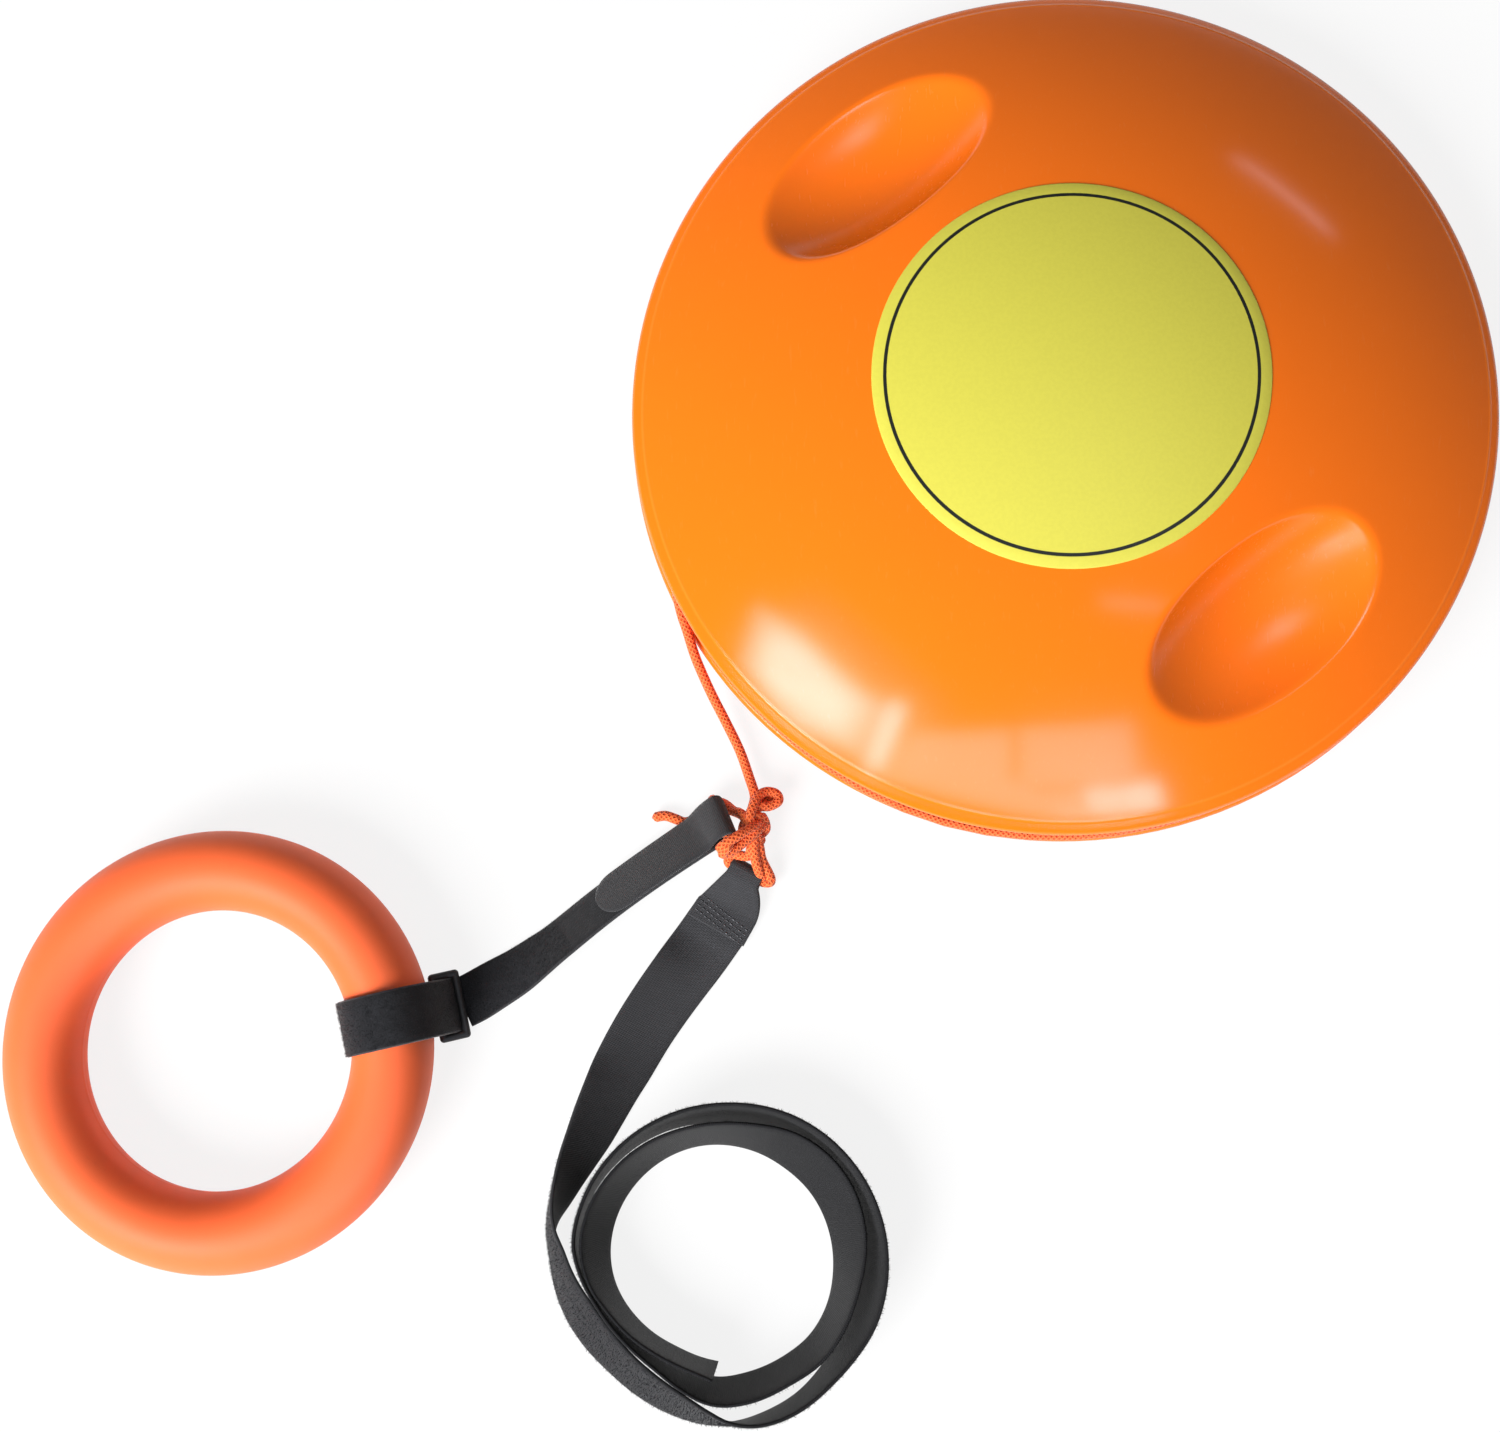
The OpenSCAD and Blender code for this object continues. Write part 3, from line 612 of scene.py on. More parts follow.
def seal_rubber(name):
    """Dull black rubber."""
    f = Finish(name)
    bloom = f.noise(f.place(), 300.0, 3.0)
    return f.surface(
        Base_Color=f.mix(bloom.between(0.35, 0.7), (0.012, 0.012, 0.012), (0.022, 0.022, 0.022)),
        Roughness=0.7 + bloom * 0.15,
        Normal=f.bump(bloom, 0.00005),
    )


def dress(node, finish):
    """Gives a carried-over solid its finish."""
    solid = frame["nodes"][node]
    solid.data.materials.clear()
    solid.data.materials.append(finish)


# Repeated things, by Geometry Nodes

FIBRE_TIP, FIBRE_ROOT = 0.00002, 0.00008  # radii in metres
FIBRE_LEAN, FIBRE_TURN = 0.7, 6.28  # the most that a fibre leans and turns, in radians
FIBRE_SMALL, FIBRE_LARGE, SIZE_SEED = 0.5, 1.15, 7
THREAD = 0.0005  # thickness of the sewing thread, in metres


class Growth:
    """A Geometry Nodes tree with named inputs."""

    def __init__(self, name, inputs):
        self.tree = bpy.data.node_groups.new(name, "GeometryNodeTree")
        self.tree.interface.new_socket("Geometry", in_out="INPUT", socket_type="NodeSocketGeometry")
        self.ids = {}
        for key, kind in inputs.items():
            self.ids[key] = self.tree.interface.new_socket(key, in_out="INPUT", socket_type=kind).identifier
        self.tree.interface.new_socket("Geometry", in_out="OUTPUT", socket_type="NodeSocketGeometry")
        self.start = self.tree.nodes.new("NodeGroupInput")

    def given(self, name):
        return self.start.outputs[name]

    def node(self, kind, settings=None, sockets=None):
        return add_node(self.tree, kind, settings, sockets)

    def end(self, geometry):
        """Real faces in their material."""
        real = self.node("GeometryNodeRealizeInstances", sockets={0: geometry})[0]
        real = self.node("GeometryNodeSetShadeSmooth", sockets={0: real, "Shade Smooth": True})[0]
        done = self.node("GeometryNodeSetMaterial", sockets={"Geometry": real, "Material": self.given("Material")})[0]
        self.tree.links.new(done, self.tree.nodes.new("NodeGroupOutput").inputs[0])

    def grow(self, obj, **values):
        """Runs the tree on an object and keeps the result as its plain mesh."""
        modifier = obj.modifiers.new("growth", "NODES")
        modifier.node_group = self.tree
        for key, value in values.items():
            modifier[self.ids[key]] = value
        graph = bpy.context.evaluated_depsgraph_get()
        mesh = bpy.data.meshes.new_from_object(obj.evaluated_get(graph))
        obj.modifiers.remove(modifier)
        seed, obj.data = obj.data, mesh
        bpy.data.meshes.remove(seed)
        if not len(mesh.polygons):
            raise RuntimeError(f"{obj.name}: nothing grew")
        return obj


def nap_growth():
    """Short leaning fibres spread over a face."""
    g = Growth("strap_nap", {
        "Density": "NodeSocketFloat", "Length": "NodeSocketFloat", "Thickness": "NodeSocketFloat",
        "Seed": "NodeSocketInt", "Material": "NodeSocketMaterial",
    })
    spread = g.node("GeometryNodeDistributePointsOnFaces", {"distribute_method": "RANDOM"}, {
        "Mesh": g.given("Geometry"), "Density": g.given("Density"), "Seed": g.given("Seed")})
    fibre = g.node("GeometryNodeMeshCone", {"fill_type": "NONE"}, {
        "Vertices": 3, "Radius Top": FIBRE_TIP, "Radius Bottom": g.given("Thickness"), "Depth": g.given("Length")})
    lean = g.node("FunctionNodeRandomValue", {"data_type": "FLOAT_VECTOR"}, {
        0: (-FIBRE_LEAN, -FIBRE_LEAN, 0.0), 1: (FIBRE_LEAN, FIBRE_LEAN, FIBRE_TURN), "Seed": g.given("Seed")})[0]
    turn = g.node("FunctionNodeEulerToRotation", sockets={0: lean})[0]
    turn = g.node("FunctionNodeRotateRotation", {"rotation_space": "LOCAL"}, {0: spread["Rotation"], 1: turn})[0]
    sizes = {2: FIBRE_SMALL, 3: FIBRE_LARGE, "Seed": SIZE_SEED}
    size = g.node("FunctionNodeRandomValue", {"data_type": "FLOAT"}, sizes)[1]
    put = g.node("GeometryNodeInstanceOnPoints", sockets={
        "Points": spread["Points"], "Instance": fibre["Mesh"], "Rotation": turn, "Scale": size})
    g.end(put[0])
    return g


def stitch_growth():
    """Rows of sewing thread, one stitch on each point along its own direction."""
    g = Growth("strap_stitches", {
        "Stitch": "NodeSocketFloat", "Thread": "NodeSocketFloat", "Material": "NodeSocketMaterial",
    })
    way = g.node("GeometryNodeInputNamedAttribute", {"data_type": "FLOAT_VECTOR"}, {"Name": "way"})[0]
    turn = g.node("FunctionNodeAlignRotationToVector", {"axis": "X"}, {"Vector": way})[0]
    bead = g.node("GeometryNodeMeshUVSphere", sockets={"Segments": 8, "Rings": 5, "Radius": 0.5})["Mesh"]
    thread = g.given("Thread")
    size = g.node("ShaderNodeCombineXYZ", sockets={0: g.given("Stitch"), 1: thread, 2: thread})[0]
    put = g.node("GeometryNodeInstanceOnPoints", sockets={
        "Points": g.given("Geometry"), "Instance": bead, "Rotation": turn, "Scale": size})
    g.end(put[0])
    return g


def stitches(name, points, ways, looks, finish):
    """Stitches on points, each along its way."""
    seed = bpy.data.meshes.new(name)
    seed.from_pydata((np.asarray(points) * MM).tolist(), [], [])
    way = seed.attributes.new("way", "FLOAT_VECTOR", "POINT")
    way.data.foreach_set("vector", np.asarray(ways, np.float32).ravel())
    obj = bpy.data.objects.new(name, seed)
    bpy.context.scene.collection.objects.link(obj)
    return stitch_growth().grow(obj, Stitch=looks.stitch, Thread=THREAD, Material=finish)


def nap(name, face, looks, finish, density=1.0, size=1.0):
    """Nap on a face."""
    return nap_growth().grow(
        piece(name, *face, []), Density=looks.nap_density * density, Length=looks.nap_length * size,
        Thickness=FIBRE_ROOT * size, Seed=looks.seed, Material=finish)


def tape(name, made, finishes):
    """A strap's piece, from what strap() made."""
    verts, faces, uvs, slots = made
    return piece(name, verts, faces, finishes, uvs=uvs, slots=slots)


def carried(body, slot, *objects):
    """Makes pieces move with a body."""
    for obj in objects:
        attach(obj, body)


# Places, in millimetres

DOME_R, DOME_Z, WALL = 312.145, -234.145, 3.0
RIM_R, RIM_Z, BEAD_R = 162.0, 29.1546, 3.0
GRIP_R, GRIP_Z, GRIP_SLOPE, GRIP_AZ = 113.0, 56.8284, math.radians(21.2237), 128.5
GRIP_TUBE, GRIP_SWEEP, GRIP_DEPTH = 35.6552, 71.3635, 16.0
COARSE_R, BEAD_END = 66.0, -208.0  # the label covers coarser rings; the bead ends inside, in degrees
RIM_LINE_R, INNER_EDGE_R = RIM_R - 1.6, RIM_R - 6.0  # the raised line at the rim, painted lighter as a highlight, and where the inner face starts
LABEL_R, FILM, FILM_SINK = 72.0, 0.35, 0.4  # the film's height over the dome, and how far it goes in
LABEL_EDGE = [(-0.25, FILM), (-0.06, 0.28), (0, 0.12), (-0.05, -0.2)]  # its edge, out from its radius and up

SENSOR, LENS = 36.0, 43.735
CAMERA_AT = (-0.0756, -0.2022, 0.7163)  # in metres
CAMERA_TURN = Matrix(((0.998, 0.0075, 0.0624), (0.0, 0.9928, -0.1197), (-0.0629, 0.1195, 0.9908)))
FLOOR_HALF, FLOOR_Z, FLOOR_GLOW = 6000, -0.4, 0.86

# bright panes: name, share of the windows' radiance, softness of the edge, corners
WINDOW_PANES = [
    ("window_left", 1.3, 0.34, [
        (-1530, -720, 1300), (-1340, -860, 1410), (-910, -1290, 1430), (-1020, -1460, 1200),
        (-1320, -1290, 1110), (-1580, -950, 1100)
    ]),
    ("window_left_core", 3.0, 0.5, [
        (-1416, -980, 1228), (-1168, -1178, 1307), (-1198, -1267, 1208), (-1376, -1138, 1158)
    ]),
    ("window_narrow", 1.25, 0.22, [
        (-840, -1280, 1480), (-720, -1330, 1500), (-840, -1590, 1170), (-950, -1560, 1140)
    ]),
    ("window_haze", 0.42, 0.12, [
        (-711, -1494, 1452), (-82, -1494, 1596), (577, -1432, 1555), (700, -1823, 1061),
        (-62, -1885, 1164), (-845, -1669, 1184)
    ]),
    ("window_low_1", 1.35, 0.1, [(140, -1690, 1310), (255, -1680, 1287), (262, -1801, 1111), (130, -1820, 1130)]),
    ("window_low_2", 1.35, 0.1, [(272, -1678, 1284), (387, -1667, 1260), (413, -1780, 1090), (281, -1798, 1108)]),
    ("window_low_3", 1.35, 0.1, [(404, -1666, 1257), (481, -1659, 1242), (520, -1764, 1074), (432, -1777, 1087)]),
    ("window_low_4", 1.35, 0.1, [(500, -1657, 1238), (690, -1640, 1200), (760, -1730, 1040), (542, -1761, 1071)]),
    ("window_upper", 0.4, 0.12, [(-98, -1421, 1519), (549, -1362, 1480), (598, -1617, 1196), (-78, -1686, 1254)]),
    ("window_streak", 0.4, 0.2, [(1020, 1620, 940), (1460, 1260, 920), (1460, 1260, 865), (1020, 1620, 885)]),
    ("window_roof", 0.62, 0.3, [(700, -330, 1760), (300, -150, 1910), (50, 250, 1890), (520, 120, 1870)]),
    ("window_high", 0.3, 0.2, [(380, -810, 1900), (750, -810, 1800), (750, -740, 1800), (380, -740, 1900)]),
]

# turns of the line: how many lie in each layer of the groove, from the drum outwards
LAYERS = [5, 5, 5, 5, 5, 5, 4, 4, 4, 2]
FIRST_R, LAYER_STEP, TURN_STEP, STAGGER = 128.4, 3.4, 4.1, 2.05
FLANGE_R, FLANGE_Z, FLANGE_LIFT = 597.0, 588.28, 2.4  # sphere of the flange, and the lowest turn's height on it
LAST_TURN, TURN_POINTS = (162.6, 20.5), 64
ANCHOR_AZ, ANCHOR_Z, LEAVE_AZ = 68.5, 13.0, 203.95
ANCHOR_PLACES = [(124.0, 0.0), (126.0, 1.2), (127.6, 4.6)]  # out of the drum, and along the groove
CROSS_FROM = 318.0  # where a turn starts to move over to the next
LOOSE, LOOSE_AZ, LOOSE_BEFORE, LOOSE_AFTER = 2.7, 254.0, 22.0, 30.0  # where the last turn hangs slack

# routes of the free line; the bights' middles are side, run and up from the fold or the eye
LEAD_ROUTE = [
    [-148.6, -66, 20.5], [-147.6, -72, 20.3], [-146, -78.5, 20], [-144.2, -84, 19], [-141.5, -93, 16.5],
    [-139, -99.5, 13.5], [-135, -108.5, 9.5], [-130.2, -118, 6.5], [-124.4, -130, 5.5], [-120.5, -141, 6.3],
    [-118.4, -147.7, 8], [-119, -151.9, 8], [-120.6, -155.6, 5.8],
]
KNOT_WRAP = [
    [-110.9, -149, 6], [-113.5, -149.6, 6.2], [-117, -151, 6.8], [-119.8, -154, 6.4], [-120.9, -157, 4.4],
    [-120.3, -160.6, 3.4], [-117.7, -163.4, 4.2], [-114.4, -161.2, 7], [-114.6, -157.9, 10], [-117.6, -156.1, 12.4],
    [-121.1, -157.6, 11.6], [-122.9, -161.3, 9], [-121.1, -165.1, 6],
]
KNOT_EAR = [
    [-121.5, -158, 5.5], [-119.7, -154.7, 9.5], [-116.2, -152.5, 10.6], [-112.3, -152.1, 9.6], [-109.2, -150.1, 8.6],
    [-110, -147.3, 8], [-113.9, -146.5, 8.4], [-116.9, -148.6, 10.6], [-118.7, -152.7, 13.2], [-119.8, -157.4, 14.4],
    [-118.8, -161.9, 12.6], [-117.4, -166, 9.5],
]
KNOT_TURN = [
    [-114.8, -157.6, 8], [-118, -160.2, 14.8], [-122, -162.8, 18.6], [-126, -165.4, 20.6],
    [-129.6, -167.8, 20.4], [-131.4, -169.4, 18.4],
]
KNOT_LEG = [
    [-117.4, -160, 9], [-118.2, -164, 11], [-118.4, -169.4, 10.6], [-117.6, -174.4, 9.2],
    [-116.4, -178.2, 6.6], [-115.4, -180, 4.2],
]
TAIL_ROUTE = [
    [-119.9, -159.6, 6], [-122.6, -156.1, 6.5], [-126.7, -153.8, 4.6], [-131.2, -152.9, 2.8], [-136.3, -153.8, 2.4],
    [-141.8, -156.5, 2.4], [-146.2, -157.9, 2.4], [-150.1, -156.5, 2.4], [-154.1, -155.3, 2.4], [-158.4, -155.9, 2.4],
]
FOLD_IN = [
    [-115.6, -165.9, 7], [-117.7, -163.8, 11], [-119.9, -160.9, 13.3], [-121.6, -157.4, 12.6], [-123.9, -154.9, 10],
    [-126.6, -153.9, 6.6],
]
FOLD_THROUGH = [
    [11.6, 3.4, -6.2], [12.8, 0.6, -4.2], [12.4, 0, -2], [9.6, 0, -0.2], [2, 0, 0], [-4, 0, 0], [-9.6, -0.1, 0],
    [-13, -1.6, -0.3],
]
FOLD_OUT = [
    [-130.1, -170.9, 18], [-126.6, -169.9, 16.9], [-121.7, -166, 15.4], [-117.5, -162.2, 13.6], [-114.7, -158.6, 9],
    [-115.9, -155.6, 5.5],
]
EYE_IN = [[-118.8, -163, 10], [-119.6, -168, 10]]
EYE_THROUGH = [
    [-2.8, 6, 4], [-8, 3.8, 1.8], [-9.2, 1.4, 0.6], [-7.6, -0.2, 0], [-1.5, -0.3, 0], [3, -0.2, 0], [7.6, 0.2, 0],
    [9.2, 2.4, 0.8],
]
EYE_OUT = [[-115.6, -173, 7.4], [-116.4, -168.6, 9], [-117.6, -163.5, 9.6], [-119, -159.5, 8]]

# straps
FOLD = np.array([-131.066, -157.664, 13.5475])
FOLD_SIDE = np.array([-0.346179, 0.76389, -0.544639])
FOLD_RUN = np.array([0.909834, 0.412318, -0.046873])
FOLD_UP = np.array([-0.18882, 0.511924, 0.838022])
FOLD_R, FOLD_START = 3.0, -75
DRAWN_IN, DRAWN_RUN, DRAWN_ARC = 4, 9, 110  # how far, over what length and over what angle of the fold
STRAP_ROWS = [
    [-234, -228.5, 0, 0], [-228.5, -225.8, -2.5, 0], [-221, -221.5, -11, 0.1], [-211.5, -216, -22, 0.1],
    [-203, -210, -32, 0.1], [-195, -204, -38, 0.2], [-178, -190.5, -39, 1], [-160.5, -178, -39, 3],
    [-142.5, -166, -37, 5], [-136, -161.8, -35, 5], [-130.5, -159.2, -33, 5],
]
TAB_ROW, TAB_CLOSE, TAB_GAP = 6, 2, 0.2  # the row where the tab ends, the rows it takes to close, its play
TAB_TIP = np.radians([12, 24, 36, 48, 60, 70, 78])  # the tab's end is rounded
NAP_SHORT = 0.8  # how much of a row the nap keeps from the tab
LOOP_XY, LOOP_Z, LOOP_AZ = np.array([-258.25, -234.099]), 18.3, math.radians(13)
LOOP_IN, LOOP_WIDER = 16.9, 1.06
REAR_BAR, BAR_R, BAR_PLAY = np.array([16.4305, -11.9218]), 1.6, 0.3
TONGUE = [
    [24, -16.6], [23.1, -14.6], [22, -10.5], [20.8, -4], [18.9, 3.4], [16.4, 9.4], [13.5, 13.4],
    [9.45, 16.4], [4.8, 17.9], [0, 17.9], [-3.9, 16.9],
]
RING_CENTRE = np.array([-325.414, -245.941, 16.9])
RING_AZ, RING_TILT = math.radians(10), math.radians(1.1626)
EYE_RUN = unit([9.1, 16.1, 0])
EYE_SIDE = np.array([EYE_RUN[1], -EYE_RUN[0], 0])
EYE_END, EYE_LEN, EYE_LEFT, EYE_RIGHT = np.array([-130.6, -194.1, 0]), 18.5, 7.4, 6.4
EYE_Z, EYE_GAP = 0.7 + FOLD_R, 0.1  # height of the eye's axis, and the play between its layers
EYE_POWERS = 1.0, 2.4  # how late the eye's left and right edges draw in
EYE_LOWER = 14, 10, 6, 3
EYE_UPPER = [[-7, 0], [-3.5, 0], [0, 0], [3.5, 0.05], [7, 0.3], [11, 0.62], [15, 0.93]]
LEAD_ROWS = [
    [-139, -206, 0], [-147, -217, -12], [-154.5, -227.5, -18], [-162, -239, -23], [-169.2, -251.9, -28],
    [-173.5, -260.5, -37], [-177.7, -269.5, -44], [-181.4, -277.9, -51], [-185.6, -286.8, -60], [-189.4, -296, -71],
    [-192.2, -304.6, -83], [-193.8, -312.6, -99],
]
CUPPED, CUP_BOW, CUP_REACH = np.array([-191, -307]), 3.2, 24  # where the lead is cupped before the coil
CUP_SHARE, NAP_FROM = 0.4, 0.5  # the cup is in this share of the strap; the nap starts at this share of the lead
# the eye's seam: its rows along the strap, the step between stitches, and how many lie each side of the middle
SEAM_ROWS, SEAM_STEP, SEAM_HALF = (-5.2, -3.2, -1.2, 0.8), 2.1, 5
SEAM_SLANT, SEAM_LIFT = 0.16, 0.05
COIL_XY = np.array([-133, -325.5])
COIL_ROWS = [
    [175, 60.4, -111], [187, 57.6, -121], [198, 55, -128],
    [211, 52.7, -130], [224, 51.3, -128], [239, 51.5, -127], [254, 53, -123], [266, 55.4, -115],
    [276, 57.4, -104], [288, 58.3, -93], [302, 58.2, -87], [317, 57.3, -81], [330, 57.4, -74],
    [345, 58.9, -69], [370, 60.2, -66], [395, 60.2, -65], [420, 59, -66], [450, 56.4, -70],
    [490, 55.2, -82], [515, 54.6, -90], [530, 53.6, -92], [538, 51.3, -92], [547, 48.6, -92],
    [558, 45.2, -91], [571, 42.7, -90], [584, 41.4, -90], [599, 41.2, -89], [614, 43.2, -86],
    [630, 45.8, -80], [645, 46, -77], [665, 46.4, -77], [682, 48.2, -74], [700, 49, -71],
    [715, 49.6, -66], [735, 51.4, -55], [755, 52.2, -49], [775, 51.2, -51], [795, 49.4, -62],
    [820, 48.4, -68], [850, 47.8, -68], [885, 46.8, -69], [905, 44.2, -77], [920, 41.2, -85],
    [935, 38.9, -88], [950, 37.2, -90], [965, 36.4, -90], [980, 37.2, -90], [990, 38.6, -87],
]


def polar(radius, degrees):
    a = math.radians(degrees)
    return np.array([radius * math.cos(a), radius * math.sin(a)])


def winding_line():
    """The line from its anchor in the drum through every turn in the groove and out to the knot."""
    places = []
    for layer, count in enumerate(LAYERS):
        r = FIRST_R + LAYER_STEP * layer
        low = FLANGE_Z - math.sqrt(FLANGE_R**2 - r * r) + FLANGE_LIFT + layer % 2 * STAGGER
        heights = [low + TURN_STEP * k for k in range(count)]
        places += [(r, z) for z in (heights if layer % 2 == 0 else heights[::-1])]
    places += [LAST_TURN, LAST_TURN]
    along = polar(1, ANCHOR_AZ + 90)
    points = [(*(polar(r, ANCHOR_AZ) + off * along), ANCHOR_Z) for r, off in ANCHOR_PLACES]
    for turn, (r, z) in enumerate(places):
        left = len(places) - 1 - turn
        r2, z2 = places[turn + 1] if left else (r, z)
        sweep = 360.0 if left else LEAVE_AZ - ANCHOR_AZ
        for k in range(0 if turn else 4, int(TURN_POINTS * sweep / 360)):
            a = k * 360 / TURN_POINTS
            u = min(1.0, max(0.0, (a - CROSS_FROM) / (360.0 - CROSS_FROM)))
            u = u * u * (3 - 2 * u)
            z1 = z if turn else ANCHOR_Z + (z - ANCHOR_Z) * min(1.0, a / 90.0)
            loose = ANCHOR_AZ + a - LOOSE_AZ
            reach = LOOSE_BEFORE if loose < 0 else LOOSE_AFTER
            bulge = LOOSE * math.exp(-((loose / reach) ** 2)) if left == 1 else 0.0
            points.append((*polar(r + (r2 - r) * u + bulge, ANCHOR_AZ + a), z1 + (z2 - z1) * u))
    return np.vstack([np.array(points), smooth(LEAD_ROUTE, 6)])


# Operators


class RESCUE_OT_stage(bpy.types.Operator):
    """Sets up the camera, the pale floor and the soft studio light"""

    bl_idname = "rescue_disc.stage"
    bl_label = "Stage"

    def lamp(self, name, at, azimuth, elevation, away, size, radiance):
        """A soft lamp that lights but doesn't mirror."""
        data = bpy.data.lights.new(name, "AREA")
        data.shape = "RECTANGLE"
        data.size, data.size_y = size
        data.energy = radiance * size[0] * size[1] * 4
        lamp = bpy.data.objects.new(name, data)
        a, e = math.radians(azimuth), math.radians(elevation)
        back = Vector((math.cos(a) * math.cos(e), math.sin(a) * math.cos(e), math.sin(e)))
        lamp.location = Vector(at) * MM + back * away
        lamp.rotation_euler = (-back).to_track_quat("-Z", "Y").to_euler()
        lamp.visible_glossy = lamp.visible_camera = False
        bpy.context.scene.collection.objects.link(lamp)

    def pane(self, name, corners, radiance, soft):
        """A bright pane that mirrors in glossy pieces and fades out at its edge."""
        f = Finish(name)
        glow = f.node("ShaderNodeAttribute", {"attribute_name": "glow"}, output="Fac")
        tone = f.mix(glow, (0.0, 0.0, 0.0), WINDOW_TINT)
        f.end(f.node("ShaderNodeEmission", sockets={"Color": tone, "Strength": radiance}))
        corners = np.array(corners, float)
        middle, count = corners.mean(0), len(corners)
        inner, outer = (middle + (corners - middle) * share for share in (1 - soft, 1 + soft))
        edge = [(k, (k + 1) % count, count + (k + 1) % count, count + k) for k in range(count)]
        made = piece(name, [*inner, *outer], [range(count), *edge], [f.material])
        glows = made.data.attributes.new("glow", "FLOAT", "POINT")
        glows.data.foreach_set("value", [1.0] * count + [0.0] * count)
        made.visible_camera = made.visible_diffuse = made.visible_shadow = False

    def execute(self, context):
        looks = context.scene.rescue_stage
        scene = context.scene
        scene.view_settings.view_transform = "Standard"
        camera = bpy.data.cameras.new("camera")
        camera.sensor_width, camera.lens = SENSOR, LENS
        camera.clip_start, camera.clip_end = 0.01, 50.0
        seen = bpy.data.objects.new("camera", camera)
        seen.rotation_euler = CAMERA_TURN.to_quaternion().to_euler()
        seen.location = CAMERA_AT
        scene.collection.objects.link(seen)
        scene.camera = seen

        scene.world = bpy.data.worlds.new("studio")
        f = Finish("studio", scene.world)
        white = f.node("ShaderNodeLightPath", output="Is Camera Ray")
        tone = f.mix(white, (looks.room,) * 3, (1.0, 1.0, 1.0))
        f.end(f.node("ShaderNodeBackground", sockets={"Color": tone, "Strength": 1.0}), "ShaderNodeOutputWorld")

        f = Finish("studio_floor")
        rays = ("Is Camera Ray", "Is Glossy Ray", "Is Transmission Ray")
        direct, glossy, through = (f.node("ShaderNodeLightPath", output=ray) for ray in rays)
        shown = direct.larger(glossy).larger(through)
        paper = f.node("ShaderNodeBsdfDiffuse", sockets={"Color": (*looks.floor, 1.0)})
        glow = f.node("ShaderNodeEmission", sockets={"Color": (1.0, 1.0, 1.0, 1.0), "Strength": 1.0})
        f.end(f.node("ShaderNodeMixShader", sockets={0: shown * FLOOR_GLOW, 1: paper, 2: glow}))
        far = FLOOR_HALF
        corners = [(-far, -far, FLOOR_Z), (far, -far, FLOOR_Z), (far, far, FLOOR_Z), (-far, far, FLOOR_Z)]
        piece("floor", corners, [range(4)], [f.material])

        for name, share, soft, corners in WINDOW_PANES:
            self.pane(name, corners, share * looks.window, soft)
        self.lamp(
            "soft_key", at=(-60, -120, 20), azimuth=227, elevation=36, away=2.6, size=(1.5, 1.5), radiance=looks.key)
        return {"FINISHED"}


class RESCUE_OT_line(bpy.types.Operator):
    """Winds the line in the groove and leads it out to the knot"""

    bl_idname = "rescue_disc.line"
    bl_label = "Wound line"

    def execute(self, context):
        looks = context.scene.rescue_line
        finish = braided("line_braid", looks)
        radius = looks.diameter / 2 / MM
        path = winding_line()
        verts, faces, uvs = tube(path, radius)
        line = piece("line_winding", verts, faces, [finish], uvs=uvs)
        fold = FOLD + np.array(FOLD_THROUGH) @ np.array([FOLD_SIDE, FOLD_RUN, FOLD_UP])
        eye = EYE_END + EYE_LEN * EYE_RUN + EYE_Z * UP + np.array(EYE_THROUGH) @ np.array([EYE_SIDE, EYE_RUN, UP])
        routes = {
            "line_knot": [KNOT_WRAP, KNOT_EAR, KNOT_TURN, KNOT_LEG],
            "line_ring_bight": [[*FOLD_IN, *fold, *FOLD_OUT]],
            "line_strap_bight": [[*EYE_IN, *eye, *EYE_OUT]],
            "line_tail": [TAIL_ROUTE],
        }
        on_line = []
        for name, strands in routes.items():
            steps = 6 if name == "line_tail" else 8
            verts, faces, uvs = joined([tube(smooth(strand, steps), radius) for strand in strands])
            obj = piece(name, verts, faces, [finish], uvs=uvs)
            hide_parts(name.replace("line_", "rope_"))
            on_line.append(obj)
        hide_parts("rope_winding", "rope_lead")
        carried("disc", "line_orange", line, *on_line)
        dress("rope_anchor_knot", finish)
        return {"FINISHED"}


